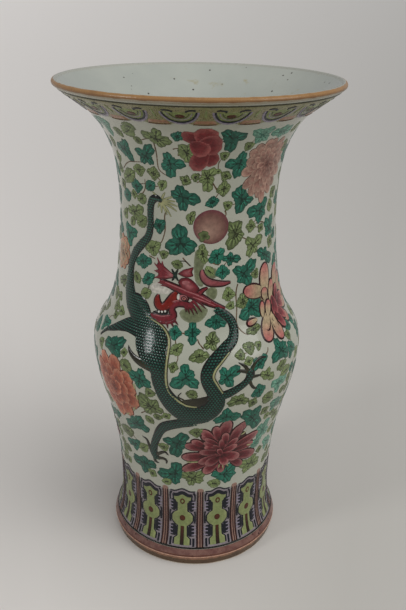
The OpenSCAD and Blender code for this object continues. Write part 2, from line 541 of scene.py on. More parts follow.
    def hoop(self, low: float, high: float, paint: Paint, lift: float) -> None:
        """Adds a painted line right round the vase.

        Args:
            low: Height of its lower edge.
            high: Height of its upper edge.
            paint: Its colour.
            lift: Thickness of the enamel.
        """
        height = np.linspace(low, high, 4)[:, None]
        angle = np.linspace(-180, 180, self.HOOP_TURNS, endpoint=False)
        rise = self.sunk(height.shape, lift, False)
        self.grid(angle, height, rise, np.asarray(paint.colour), closed=True)

    def build(self, name: str, material: Material) -> Piece:
        """Makes the mesh object.

        Args:
            name: Name of the piece.
            material: Its finish, which reads the colours from the attribute named tint.

        Returns:
            The object, linked to the scene.
        """
        points = self.points()
        piece = mesh_piece(name, points, self._outward_faces(points), material)
        tint = piece.data.attributes.new("tint", "FLOAT_COLOR", "POINT")
        colours = np.column_stack([np.vstack(self._colours), np.ones(len(points))])
        tint.data.foreach_set("color", colours.astype(np.float32).ravel())
        return piece

    def _outward_faces(self, points: Array) -> list[list[int]]:
        """Turns each face so that it faces away from the clay.

        Args:
            points: Every point, as rows.

        Returns:
            The numbers of each face's points.
        """
        corners = np.array([face[:3] for face in self._faces])
        a, b, c = points[corners[:, 0]], points[corners[:, 1]], points[corners[:, 2]]
        facing = np.cross(b - a, c - a)
        centre = np.column_stack([a[:, :2], np.zeros(len(a))])
        inward = np.einsum("ij,ij->i", facing, centre) < 0
        return [face[::-1] if turn else face for face, turn in zip(self._faces, inward)]


class Recipe:
    """A node material while it is put together. Lengths in it are metres, in the part's own frame."""

    # The range that most of a cloudy pattern lies in
    CLOUDY = (0.3, 0.7)

    def __init__(self, name: str, **numbers: float) -> None:
        """Starts a material.

        Args:
            name: Name of the material.
            numbers: Values for the shader's own sockets, with the spaces in their names as underscores.
        """
        self.material = bpy.data.materials.new(name)
        self.material.use_nodes = True
        self._tree = self.material.node_tree
        self._shader = self._tree.nodes["Principled BSDF"]
        for socket, value in numbers.items():
            self.feed(socket.replace("_", " "), value)
        self._where = self._node("TexCoord", {}).outputs["Object"]

    def feed(self, name: str | int, source: Fed, node: bpy.types.Node | None = None) -> None:
        """Links an input to another node, or gives it a value.

        Args:
            name: Name or number of the input.
            source: Another node's output, or the value.
            node: The node that has the input, if it isn't the shader.
        """
        target = (node or self._shader).inputs[name]
        if isinstance(source, Socket):
            self._tree.links.new(source, target)
        else:
            target.default_value = source

    def _node(self, kind: str, inputs: dict[str | int, Fed], **settings: str) -> bpy.types.Node:
        """Adds a node.

        Args:
            kind: Blender's name for its kind, without the words that each of them starts with.
            inputs: What each input gets.
            settings: Values for the node's own settings.

        Returns:
            The node.
        """
        node = self._tree.nodes.new("ShaderNode" + kind)
        for setting, value in settings.items():
            setattr(node, setting, value)
        for name, source in inputs.items():
            self.feed(name, source, node)
        return node

    def stretched(self, scale: tuple[float, float, float]) -> Socket:
        """Returns the place on the part with each axis stretched."""
        return self._node("Mapping", {"Scale": scale, "Vector": self._where}).outputs["Vector"]

    def noise(self, grain: float, detail: float = 3.0, where: Socket | None = None) -> Socket:
        """Returns a cloudy pattern of a grain in metres and a number of finer layers, at a place."""
        inputs = {"Scale": 1 / grain, "Detail": detail, "Vector": where or self._where}
        return self._node("TexNoise", inputs).outputs[0]

    def cells(self, grain: float) -> Socket:
        """Returns the distance to the nearest of points that are scattered a grain apart."""
        return self._node("TexVoronoi", {"Scale": 1 / grain, "Vector": self._where}).outputs["Distance"]

    def axis(self, name: str) -> Socket:
        """Returns one coordinate of the place: X, Y or Z."""
        return self._node("SeparateXYZ", {"Vector": self._where}).outputs[name]

    def math(self, way: str, first: Fed, second: Fed) -> Socket:
        """Joins two numbers by one of Blender's sums."""
        return self._node("Math", {0: first, 1: second}, operation=way).outputs[0]

    def reach(self) -> Socket:
        """Returns the distance from the vase's axis."""
        return self._node("VectorMath", {0: self.stretched((1, 1, 0))}, operation="LENGTH").outputs["Value"]

    def tint(self) -> Socket:
        """Returns the colour that the brush marks carry."""
        return self._node("Attribute", {}, attribute_name="tint").outputs["Color"]

    def span(self, source: Socket, start: float, end: float, low: float = 0, high: float = 1) -> Socket:
        """Spreads the numbers from start to end over the range from low to high, and holds them there."""
        inputs = {"Value": source, "From Min": start, "From Max": end, "To Min": low, "To Max": high}
        return self._node("MapRange", inputs).outputs["Result"]

    def mix(self, share: Fed, first: Socket | Colour, second: Socket | Colour, way: str = "MIX") -> Socket:
        """Mixes two colours.

        Args:
            share: How much of the second.
            first: The first colour.
            second: The second colour.
            way: How Blender mixes them.

        Returns:
            The mixed colour.
        """
        first, second = ((*c, 1) if isinstance(c, tuple) else c for c in (first, second))
        node = self._node("Mix", {}, data_type="RGBA", blend_type=way)
        for number, source in ((0, share), (6, first), (7, second)):
            self.feed(number, source, node)
        return node.outputs[2]

    def finish(
        self, colour: Socket, gloss: tuple[float, float, float], *relief: tuple[Socket, float]
    ) -> Material:
        """Wires up the shader.

        Args:
            colour: The colour.
            gloss: Grain of the roughness in metres, and its least and greatest value.
            relief: Patterns of fine relief, each with its depth in metres.

        Returns:
            The material.
        """
        grain, low, high = gloss
        self.feed("Base Color", colour)
        self.feed("Roughness", self.span(self.noise(grain), *self.CLOUDY, low, high))
        under = {}
        for pattern, depth in relief:
            bump = self._node("Bump", {"Distance": depth, "Height": pattern, **under})
            under = {"Normal": bump.outputs["Normal"]}
        self.feed("Normal", under["Normal"])
        return self.material


@dataclass(frozen=True)
class ClearGlaze:
    """Clear glaze over white porcelain, with pooled tone, iron specks and a faint rippled skin."""

    name: str
    body: Colour = srgb(170, 171, 157)
    pooled: Colour = srgb(161, 163, 149)
    speck: Colour = srgb(84, 76, 60)
    # Distance between specks in metres, and a speck's reach as a share of it
    speck_pitch: float = 0.016
    speck_reach: float = 0.035
    # Colour of old stains, and how strongly they show
    stain: Colour = srgb(150, 138, 92)
    stain_share: float = 0.0

    def make(self) -> Material:
        """Puts the finish together.

        Returns:
            The material.
        """
        recipe = Recipe(self.name, IOR=1.5)
        tone = recipe.mix(recipe.span(recipe.noise(0.05), 0.35, 0.65), self.body, self.pooled)
        if self.stain_share:
            stains = recipe.span(recipe.noise(0.016), 0.64, 0.72, 0, self.stain_share)
            tone = recipe.mix(stains, tone, self.stain)
        specks = recipe.span(recipe.cells(self.speck_pitch), self.speck_reach, 0.6 * self.speck_reach)
        tone = recipe.mix(specks, tone, self.speck)
        ripple = recipe.noise(0.0016, 2)
        turning = recipe.noise(0.02, 2, recipe.stretched((0.15, 0.15, 2.5)))
        return recipe.finish(tone, (0.012, 0.08, 0.2), (ripple, 0.00003), (turning, 0.0002))


@dataclass(frozen=True)
class Enamel:
    """Painted enamel: the brush's colour, thinner and thicker in places, with a soft gloss."""

    name: str
    mottle: float = 0.28
    grain: float = 0.0028
    gloss: Pair = (0.2, 0.38)
    shine: float = 0.34

    def make(self) -> Material:
        """Puts the finish together.

        Returns:
            The material.
        """
        recipe = Recipe(self.name, IOR=1.5, Specular_IOR_Level=self.shine)
        wash = recipe.noise(self.grain, 4)
        thin, thick = (1 - self.mottle,) * 3, (1 + self.mottle,) * 3
        thickness = recipe.mix(recipe.span(wash, *Recipe.CLOUDY), thin, thick)
        tone = recipe.mix(1.0, recipe.tint(), thickness, "MULTIPLY")
        return recipe.finish(tone, (0.006, *self.gloss), (wash, 0.00012))


@dataclass(frozen=True)
class BrownDressing:
    """Iron-brown dressing, lighter along its upper edge where a highlight is painted."""

    name: str
    body: Colour = srgb(86, 63, 41)
    # Painted highlight along the upper edge of the foot, where it catches the light
    pale_edge: Colour = srgb(150, 108, 80)
    dark: Colour = srgb(58, 38, 24)
    # Heights between which the brown turns to the painted highlight on the upper edge, and how ragged that
    # is, in metres
    low: float = 0.0064
    high: float = 0.0080
    ragged: float = 0.001

    def make(self) -> Material:
        """Puts the finish together.

        Returns:
            The material.
        """
        recipe = Recipe(self.name, IOR=1.5, Metallic=0.15)
        shift = recipe.span(recipe.noise(0.006, 4), *Recipe.CLOUDY, -self.ragged, self.ragged)
        height = recipe.math("ADD", recipe.axis("Z"), shift)
        # Lighter towards the top: a painted highlight on the foot's upper edge
        lit_top_tone = recipe.mix(recipe.span(height, self.low, self.high), self.body, self.pale_edge)
        stain = recipe.span(recipe.noise(0.011, 4), 0.56, 0.7, 0, 0.6)
        tone = recipe.mix(stain, lit_top_tone, self.dark)
        return recipe.finish(tone, (0.004, 0.24, 0.45), (recipe.noise(0.002), 0.00012))


@dataclass(frozen=True)
class LipDressing:
    """Gold-brown dressing on the outside of the lip, rubbed down to the glaze on the inside; its top turns
    a lighter gold, the gilding together with light painted on the lip's upward face.
    """

    name: str
    # The lighter gold of the top: gilding, with painted light where the lip faces up
    lit_gilt_top: Colour = srgb(150, 112, 68)
    brown: Colour = srgb(108, 74, 42)
    # Colour where the dressing is worn down to the glaze
    pale_edge: Colour = srgb(164, 165, 155)
    bare: Colour = srgb(144, 136, 116)
    # Distance from the axis where the wear ends, and heights where the brown turns to the lighter gold of
    # the top, gilding with painted light on it, in metres
    wear_edge: float = 0.1178
    wear_width: float = 0.0006
    low: float = 0.4366
    high: float = 0.4386
    # Half of the height over which it turns thin and pale below the brown, and how ragged its edges are
    bare_half: float = 0.0002
    ragged: float = 0.0004

    def make(self) -> Material:
        """Puts the finish together.

        Returns:
            The material.
        """
        recipe = Recipe(self.name, IOR=1.5)
        height = recipe.axis("Z")
        cloud = recipe.noise(0.008, 4)
        shift = recipe.span(cloud, *Recipe.CLOUDY, -self.ragged, self.ragged)
        # Brown lower down, lighter gold at the top: gilding with painted light on the lip's upward face
        tone = recipe.mix(recipe.span(height, self.low, self.high), self.brown, self.lit_gilt_top)
        tone = recipe.mix(recipe.span(cloud, 0.5, 0.8, 0, 0.5), tone, self.brown)
        under = recipe.math("ADD", height, shift)
        full = recipe.span(under, self.low - self.bare_half, self.low + self.bare_half)
        tone = recipe.mix(full, self.bare, tone)
        reach = recipe.math("ADD", recipe.reach(), shift)
        left = recipe.span(reach, self.wear_edge, self.wear_edge + self.wear_width)
        tone = recipe.mix(left, self.pale_edge, tone)
        return recipe.finish(tone, (0.004, 0.2, 0.4), (recipe.noise(0.002), 0.00008))


@dataclass(frozen=True)
class Biscuit:
    """Bare fired clay: warm white, dry and finely gritty, with kiln stain."""

    name: str
    body: Colour = srgb(196, 184, 164)
    stain: Colour = srgb(150, 118, 88)

    def make(self) -> Material:
        """Puts the finish together.

        Returns:
            The material.
        """
        recipe = Recipe(self.name, IOR=1.5)
        tone = recipe.mix(recipe.span(recipe.noise(0.018, 4), 0.45, 0.75), self.body, self.stain)
        return recipe.finish(tone, (0.003, 0.65, 0.85), (recipe.noise(0.0007, 2), 0.00015))


@dataclass(frozen=True)
class DottedGround:
    """Yellow-green ground of the border, with fine dark dots set close together."""

    name: str
    body: Colour = srgb(116, 116, 72)
    pale: Colour = srgb(130, 124, 90)
    dot: Colour = srgb(66, 62, 38)

    def make(self) -> Material:
        """Puts the finish together.

        Returns:
            The material.
        """
        recipe = Recipe(self.name, IOR=1.5)
        wash = recipe.mix(recipe.span(recipe.noise(0.012), 0.35, 0.65), self.body, self.pale)
        dots = recipe.span(recipe.cells(0.0016), 0.36, 0.2)
        return recipe.finish(recipe.mix(dots, wash, self.dot), (0.005, 0.2, 0.36), (dots, 0.00006))


@dataclass(frozen=True)
class MottledPink:
    """Pink enamel of the foot band, cloudy, with dark red flecks."""

    name: str
    body: Colour = srgb(96, 60, 54)
    pale: Colour = srgb(120, 86, 76)
    fleck: Colour = srgb(50, 10, 10)

    def make(self) -> Material:
        """Puts the finish together.

        Returns:
            The material.
        """
        recipe = Recipe(self.name, IOR=1.5)
        wash = recipe.mix(recipe.span(recipe.noise(0.007, 4), 0.38, 0.64), self.body, self.pale)
        tone = recipe.mix(recipe.span(recipe.cells(0.0062), 0.2, 0.12), wash, self.fleck)
        return recipe.finish(tone, (0.005, 0.2, 0.36), (recipe.noise(0.003), 0.00012))


class Turned:
    """A piece turned from the outline of its CAD node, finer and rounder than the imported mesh."""

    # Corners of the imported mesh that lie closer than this, in millimetres, are one corner of the outline
    JOIN = 0.02
    # The outline is rounded between its corners, apart from corners that turn by more than this
    SHARP = math.radians(24)

    def __init__(self, node: str, turns: int = 288, step: float = 2.0) -> None:
        """Reads the outline.

        Args:
            node: Name of the CAD node.
            turns: Number of faces round the axis.
            step: Greatest length of a face along the outline, in millimetres.
        """
        self.node = node
        self.turns = turns
        self.step = step
        self.outline, self.closed = self._read(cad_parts[node].data)

    def _read(self, mesh: bpy.types.Mesh) -> tuple[Array, bool]:
        """Finds the outline that a turned mesh was made from.

        Args:
            mesh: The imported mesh.

        Returns:
            The corners in order, as radius and height, and whether the last joins the first.
        """
        flat = np.zeros(len(mesh.vertices) * 3)
        mesh.vertices.foreach_get("co", flat)
        x, y, z = flat.reshape(-1, 3).T / MM
        spots = np.column_stack([np.hypot(x, y), z])
        label = np.full(len(spots), -1)
        corners = []
        for index, spot in enumerate(spots):
            if label[index] < 0:
                label[np.linalg.norm(spots - spot, axis=1) < self.JOIN] = len(corners)
                corners.append(spot)
        ends = np.zeros(len(mesh.edges) * 2, int)
        mesh.edges.foreach_get("vertices", ends)
        beside: dict[int, set[int]] = {index: set() for index in range(len(corners))}
        for first, second in label[ends.reshape(-1, 2)]:
            if first != second:
                beside[first].add(second)
                beside[second].add(first)
        loose = [index for index, others in beside.items() if len(others) == 1]
        order = [loose[0] if loose else 0]
        while len(order) < len(corners):
            onward = [other for other in beside[order[-1]] if other not in order]
            if not onward:
                break
            order.append(onward[0])
        return np.array(corners)[order], not loose

    def thin(self, edge: float, run: float, drop: Pair) -> None:
        """Sinks the inner end by a drop in radius and height, over a run that starts at an edge."""
        self.outline = self.outline + np.clip((edge - self.outline[:, :1]) / run, 0, 1) * drop

    def _rounded(self) -> Array:
        """Rounds the outline's shallow corners and cuts up its long faces.

        Returns:
            The new outline, as radius and height.
        """
        around = np.vstack([self.outline, self.outline[:1]]) if self.closed else self.outline
        run = np.diff(around, axis=0)
        heading = np.unwrap(np.arctan2(run[:, 1], run[:, 0]))
        turn = np.abs(np.diff(heading))
        breaks = [0, *(np.flatnonzero(turn > self.SHARP) + 1), len(around) - 1]
        parts = [spline(around[a : b + 1], self.step)[:-1] for a, b in zip(breaks, breaks[1:])]
        whole = np.vstack(parts)
        return whole if self.closed else np.vstack([whole, around[-1:]])

    def build(self, name: str, material: Material, slot: str) -> Piece:
        """Makes the piece, which stands for its CAD node.

        Args:
            name: Name of the piece.
            material: Its finish.
            slot: The record's material slot.

        Returns:
            The object.
        """
        outline = self._rounded()
        ahead, aside = ring(self.turns).T
        radius, height = outline[:, :1], outline[:, 1:]
        rings = np.stack([radius * aside, -radius * ahead, height + 0 * ahead], -1)
        numbers = np.arange(rings[..., 0].size).reshape(rings.shape[:2])
        net = np.column_stack([numbers, numbers[:, :1]])
        net = np.vstack([net, net[:1]]) if self.closed else net
        discs = [] if self.closed else [numbers[0].tolist(), numbers[-1].tolist()[::-1]]
        piece = mesh_piece(name, rings.reshape(-1, 3) * MM, quads(net) + discs, material)
        mesh = piece.data
        mesh.set_sharp_from_angle(angle=self.SHARP)
        volume = sum(face.center.dot(face.normal) * face.area for face in mesh.polygons)
        if volume < 0:
            mesh.flip_normals()
        return settle(piece, slot, self.node)


def settle(piece: Piece, slot: str, *nodes: str) -> Piece:
    """Fixes a piece to the vase and reports it.

    Args:
        piece: The new piece.
        slot: The record's material slot, which is named in the log.
        nodes: The CAD nodes that it stands for, if any.

    Returns:
        The piece.
    """
    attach(piece, "root")
    if nodes:
        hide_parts(*nodes)
    LOG.info("%s: %d faces, finish %s", piece.name, len(piece.data.polygons), slot)
    return piece


@dataclass
class Porcelain:
    """The body: three thrown sections luted together, the glaze on them and the brown dressings."""

    outer_slot: str = "glaze"
    dressing_slot: str = "brown_dressing"
    # Faces round the glaze and their length along it in millimetres, few enough for two long walls
    glaze_turns: int = 168
    glaze_step: float = 2.4
    # The lip dressing's inner edge: where it starts to sink into the glaze, over what run, and how far
    lip_step: float = 0.5
    lip_edge: float = 117.4
    lip_run: float = 2.6
    lip_drop: Pair = (0.23, -0.28)

    # The inside is whiter, and more specked and stained
    INNER = ClearGlaze(
        "inner_clear_glaze",
        body=srgb(172, 175, 166),
        pooled=srgb(164, 168, 160),
        speck=srgb(56, 50, 44),
        speck_pitch=0.0115,
        speck_reach=0.095,
        stain_share=0.5,
    )

    def build(self) -> None:
        """Builds the glaze and the dressings, and dresses the CAD nodes that stay."""
        glaze = ClearGlaze("clear_glaze").make()
        for node, finish in (("outer_glaze", glaze), ("inner_glaze", self.INNER.make())):
            Turned(node, self.glaze_turns, self.glaze_step).build(node + "_skin", finish, self.outer_slot)
        lip = Turned("lip_dressing", step=self.lip_step)
        lip.thin(self.lip_edge, self.lip_run, self.lip_drop)
        lip.build("lip_dressing_band", LipDressing("lip_dressing").make(), self.dressing_slot)
        brown = BrownDressing("brown_dressing").make()
        Turned("foot_dressing").build("foot_dressing_band", brown, self.dressing_slot)
        self._dress(Biscuit("biscuit").make(), "foot_section", "belly_section", "neck_section")
        slip = Biscuit("slip", body=srgb(186, 178, 162)).make()
        self._dress(slip, "lower_luting_slip", "neck_luting_slip")
        self._dress(glaze, "base_glaze")

    @staticmethod
    def _dress(finish: Material, *nodes: str) -> None:
        """Gives CAD nodes that stay their material.

        Args:
            finish: The material.
            nodes: Names of the nodes.
        """
        for name in nodes:
            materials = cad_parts[name].data.materials
            materials.clear()
            materials.append(finish)
            LOG.info("%s: CAD node with finish %s", name, finish.name)


@dataclass
class RimBorder:
    """The border below the lip: a dotted ground with ruyi heads and pink lobes between them."""

    skin: Skin
    heads: int = 18
    turn: float = 12.5
    low: float = 417.0
    high: float = 433.9
    head_low: float = 419.6
    head_high: float = 429.6
    head_half: float = 6.8
    # How far the lower edge draws up below a head
    scallop: float = 1.8
    top_line: float = 1.1

    # A bow that hangs between two upper ends, as shares of its half width and of its height
    BOW = ((-1, 1), (-0.92, 0.6), (-0.6, 0.18), (0, 0), (0.6, 0.18), (0.92, 0.6), (1, 1))
    # Rows of the ground, as shares of its height
    ROWS = np.array([0, 0.03, *np.linspace(0.15, 0.85, 6), 0.98, 1])[:, None]

    def build(self) -> None:
        """Builds the ground and the painted figures."""
        ground = EnamelSheet(self.skin)
        self._ground(ground)
        dotted = DottedGround("dotted_ground").make()
        settle(ground.build("rim_border_ground", dotted), "lime_enamel", "rim_border_enamel")
        sheet = EnamelSheet(self.skin)
        sheet.hoop(self.high - self.top_line, self.high, Paint.OLIVE_DEEP, 0.5)
        for index in range(self.heads):
            centre = self.turn + index * 360 / self.heads
            self._head(sheet, centre)
            self._lobe(sheet, centre + 180 / self.heads)
        settle(sheet.build("rim_border_figures", Enamel("border_enamel").make()), "lime_enamel")

    def _ground(self, sheet: EnamelSheet) -> None:
        """Lays the ground, with a lower edge that draws up below each head.

        Args:
            sheet: Where it is painted.
        """
        angle = np.linspace(-180, 180, 40 * self.heads, endpoint=False)
        near = np.clip(np.cos(np.radians(self.heads * (angle - self.turn))), 0, 1) ** 0.6
        low = self.low + self.scallop * near
        rise = sheet.sunk(self.ROWS.shape, 0.36, False)
        colour = np.asarray(Paint.PANEL.colour)
        sheet.grid(angle, low + (self.high - low) * self.ROWS, rise, colour, closed=True)

    def _arc(self, centre: float, half: float, low: float, high: float, width: float) -> list[Touch]:
        """Returns a stroke that hangs like a bow between two upper ends."""
        rise = high - low
        return [(centre + half * x, low + rise * y, width * (1.2 - 0.35 * abs(x))) for x, y in self.BOW]

    def _head(self, sheet: EnamelSheet, centre: float) -> None:
        """Paints one ruyi head: a green bowl in a pale and a dark outline, inner lines, a dot and curls.

        Args:
            sheet: Where it is painted.
            centre: The angle of its middle.
        """
        top, low, half = self.head_high, self.head_low, self.head_half
        bowl = [(low, -0.5, 0.5), (low + 1, -3.6, 3.6), (low + 5, -6, 6), (top, -half, half)]
        sheet.column(bowl, centre, Tones.of(Paint.PANEL_DEEP, Paint.PANEL), 0.48)
        for reach, foot, head, width, paint, lift in (
            (half + 0.5, low - 0.6, top, 2.6, Paint.NAVY_PALE, 0.52),
            (half - 0.2, low + 0.5, top, 2.2, Paint.NAVY, 0.58),
            (half * 0.72, low + 2.6, top - 0.6, 1.2, Paint.LILAC, 0.55),
            (half * 0.56, low + 4.0, top - 1.0, 0.9, Paint.OLIVE_DEEP, 0.55),
        ):
            sheet.stroke(self._arc(centre, reach, foot, head, width), Tones.of(paint), lift)
        sheet.oval((centre, low + 5.8), (2.2, 1.6), Tones.of(Paint.RUSSET, edge=Paint.INK), 0.56)
        curl = ((half, top, 2.2), (5, top + 0.9, 2.2), (2.6, top - 0.1, 2.0), (3.2, top - 1.8, 0.8))
        for side in (-1, 1):
            sheet.stroke([(centre + side * x, z, w) for x, z, w in curl], Tones.of(Paint.NAVY), 0.56)

    def _lobe(self, sheet: EnamelSheet, centre: float) -> None:
        """Paints the pink lobe between two heads, with a dark line along its foot and a leaf tip above.

        Args:
            sheet: Where it is painted.
            centre: The angle of its middle.
        """
        low = self.low
        lobe = [(low + z, -w, w) for z, w in ((0, 4.6), (1.8, 5.2), (4, 4.2), (5.6, 1.6))]
        sheet.column(lobe, centre, Tones.of(Paint.BORDER_PINK), 0.46)
        sheet.stroke(self._arc(centre, 4.9, low + 0.6, low + 1.5, 0.8), Tones.of(Paint.RUSSET), 0.55)
        leaf = [(centre, low + z, w) for z, w in ((6, 0.5), (9.5, 2.2), (14.5, 0.5))]
        sheet.stroke(leaf, Tones.of(Paint.PANEL), 0.55)


@dataclass
class LappetBand:
    """The band above the foot: lappets with a yellow-green figure, and pink stripes between them."""

    skin: Skin
    count: int = 14
    turn: float = 4.0
    low: float = 18.6
    top: float = 83.8
    panel_half: float = 10.3
    stripe_half: float = 2.2

    # Half width of the yellow-green figure in degrees, at heights from the foot up
    FIGURE = (
        (19.0, 5.8), (27.0, 5.8), (29.5, 3.5), (40.5, 3.3), (43.0, 6.0), (46.5, 7.9), (52.0, 7.9),
        (55.5, 6.2), (57.5, 3.7), (67.0, 3.6), (69.5, 6.2), (77.0, 6.8),
    )
    # How far the dark outline stands out beside the figure and above it
    OUTLINE = (1.3, 1.2)
    # Scrollwork on the right of the figure, as degrees from the middle, height and width
    SCROLLS = (
        ((7.4, 79.5, 2.8), (8.9, 77.0, 2.0), (9.1, 72.0, 1.4), (8.7, 68.0, 1.4)),
        ((6.4, 71.5, 3.2), (6.5, 68.5, 5.8), (6.5, 64.5, 6.0), (6.4, 60.0, 5.6), (7.8, 57.0, 3.0)),
        ((8.8, 58.0, 2.2), (9.3, 54.0, 1.6), (9.3, 47.0, 1.6), (8.7, 43.0, 2.4)),
        ((7.2, 42.5, 4.4), (6.5, 38.0, 6.6), (6.5, 33.0, 6.8), (6.8, 28.5, 5.0)),
        ((8.2, 28.5, 2.6), (8.3, 24.0, 2.4), (8.2, 19.2, 2.4)),
    )
    # A pale dash on it, and the heights of such dashes
    DASH = ((6.2, 0.0, 0.8), (8.0, 0.5, 1.4), (10.2, 0.2, 1.4))
    DASHES = (68.0, 64.2, 60.4, 38.6, 34.8, 31.0)
    # Rows of the ground, as shares of its height
    ROWS = np.array([0, 0.01, *np.linspace(0.05, 0.95, 19), 0.99, 1])[:, None]
    # Dark lines that follow the top: how far below it, their width, and their share of the lappet's width
    TOP_LINES = ((0.5, 1.3, 1.0), (5.0, 4.4, 0.78))
    # The stripe's rounded top: heights above its shoulder, and shares of its width
    CAP = ((0.0, 1.0), (1.2, 0.86), (2.2, 0.45))

    def build(self) -> None:
        """Builds the lappets and the stripes."""
        panels = EnamelSheet(self.skin)
        stripes = EnamelSheet(self.skin)
        pitch = 360 / self.count
        for index in range(self.count):
            stripe = self.turn + index * pitch
            self._panel(panels, stripe + pitch / 2)
            self._stripe(stripes, stripe)
        panels.hoop(self.low - 0.9, self.low + 1.0, Paint.INK, 0.7)
        finish = Enamel("lappet_enamel", mottle=0.16).make()
        settle(panels.build("lappet_panels", finish), "lime_enamel", "lappet_panel_enamel")
        settle(stripes.build("lappet_stripes", finish), "pink_enamel", "lappet_stripe_enamel")

    def _panel(self, sheet: EnamelSheet, centre: float) -> None:
        """Paints one lappet: its ground, the figure in its dark outline, and the scrollwork beside it.

        Args:
            sheet: Where it is painted.
            centre: The angle of its middle.
        """
        self._ground(sheet, centre)
        aside, above = self.OUTLINE
        outer = [(z, -w - aside, w + aside) for z, w in self.FIGURE]
        outer[-1] = (outer[-1][0] + above, *outer[-1][1:])
        sheet.column(outer, centre, Tones.of(Paint.NAVY), 0.36)
        figure = [(z, -w, w) for z, w in self.FIGURE]
        sheet.column(figure, centre, Tones.of(Paint.PANEL, edge=Paint.PANEL_PALE), 0.44)
        sheet.oval((centre, 69), (2.0, 3.6), Tones.of(Paint.PANEL_DEEP, Paint.RUSSET), 0.5)
        sheet.oval((centre, 69), (0.8, 1.8), Tones.of(Paint.PANEL), 0.62)
        sheet.oval((centre, 49.5), (2.4, 3.6), Tones.of(Paint.RUSSET, edge=Paint.STRIPE_LINE), 0.5)
        bar = [(19.2, -1.5, 1.5), (40.8, -1.35, 1.35)]
        sheet.column(bar, centre, Tones.of(Paint.INK, Paint.RUSSET, Paint.INK), 0.5)
        for side in (-1, 1):
            for path in self.SCROLLS:
                sheet.stroke([(centre + side * x, z, w) for x, z, w in path], Tones.of(Paint.NAVY), 0.46)
            for height in self.DASHES:
                dash = [(centre + side * x, height + y, w) for x, y, w in self.DASH]
                sheet.stroke(dash, Tones.of(Paint.NAVY_PALE), 0.64)

    def _ground(self, sheet: EnamelSheet, centre: float) -> None:
        """Paints the lilac ground with its scalloped top and the lines that follow it.

        Args:
            sheet: Where it is painted.
            centre: The angle of the lappet's middle.
        """
        angle = np.linspace(-self.panel_half, self.panel_half, 25)
        scallop = 1.5 * np.cos(np.radians(angle * 30)) - 3.2 * (np.abs(angle) / self.panel_half) ** 6
        top = self.top - 1.5 + scallop
        rise = sheet.sunk((len(self.ROWS), len(angle)), 0.28)
        colour = np.asarray(Paint.LILAC.colour)
        sheet.grid(centre + angle, self.low + (top - self.low) * self.ROWS, rise, colour)
        for drop, width, reach in self.TOP_LINES:
            line = [(centre + a * reach, t - drop, width) for a, t in zip(angle[1:-1:2], top[1:-1:2])]
            sheet.stroke(line, Tones.of(Paint.NAVY), 0.4)

    def _stripe(self, sheet: EnamelSheet, centre: float) -> None:
        """Paints one stripe with a rounded top and its dark lines.

        Args:
            sheet: Where it is painted.
            centre: The angle of its middle.
        """
        half = self.stripe_half
        shaft = [(self.low, -half, half), *((self.top - 2 + z, -half * w, half * w) for z, w in self.CAP)]
        sheet.column(shaft, centre, Tones.of(Paint.STRIPE), 0.3)
        for offset, width in ((0.3 - half, 1.9), (0.1, 1.2), (half - 0.3, 1.9)):
            line = [(centre + offset, self.low + 0.2, width), (centre + offset * 0.98, 50, width)]
            line.append((centre + offset * 0.92, self.top - 1.4, width * 0.8))
            sheet.stroke(line, Tones.of(Paint.STRIPE_LINE), 0.46, step=4)


@dataclass
class FootBand:
    """The mottled pink band at the foot with a dark line along its lower edge, and below that a pale line
    that is a painted highlight on the foot's edge.
    """

    skin: Skin
    line_low: float = 9.0
    line_high: float = 10.7
    dark_high: float = 12.3

    def build(self) -> None:
        """Builds the band and its lines."""
        Turned("foot_band_enamel").build("foot_band", MottledPink("mottled_pink").make(), "pink_enamel")
        sheet = EnamelSheet(self.skin)
        # The pale hoop is a painted highlight on the foot's edge, below the dark line
        sheet.hoop(self.line_low, self.line_high, Paint.FOOT_HIGHLIGHT, 0.5)
        sheet.hoop(self.line_high, self.dark_high, Paint.FOOT_DEEP, 0.5)
        settle(sheet.build("foot_band_line", Enamel("foot_line_enamel").make()), "rose_enamel")


@dataclass
class Ground:
    """The white ground, which remembers where something has been painted."""

    skin: Skin
    _taken: list[tuple[float, float, float]] = field(default_factory=list)
    _sheets: list[EnamelSheet] = field(default_factory=list)

    def cover(self, *sheets: EnamelSheet) -> None:
        """Marks whatever is on some sheets as painted."""
        self._sheets.extend(sheets)

    def finder(self) -> KDTree:
        """Sorts the painted points for a search.

        Returns:
            A finder of the painted point that is nearest to a place.
        """
        points = np.vstack([sheet.points() for sheet in self._sheets])
        tree = KDTree(len(points))
        for index, point in enumerate(points):
            tree.insert(point, index)
        tree.balance()
        return tree

    def claim(self, spot: Spot, reach: float) -> None:
        """Marks a round place as painted, with its radius in millimetres."""
        self._taken.append((*spot, reach))

    def gap(self, spot: Spot, other: Spot) -> float:
        """Returns the distance along the outside between two spots, in millimetres."""
        across = ((spot[0] - other[0] + 180) % 360 - 180) * self.skin.degree(spot[1])
        return math.hypot(across, (spot[1] - other[1]) / self.skin.steepness(spot[1]))

    def room(self, spot: Spot) -> float:
        """Returns how far the nearest painted place is from a spot, in millimetres."""
        return min((self.gap(spot, taken[:2]) - taken[2] for taken in self._taken), default=1e3)


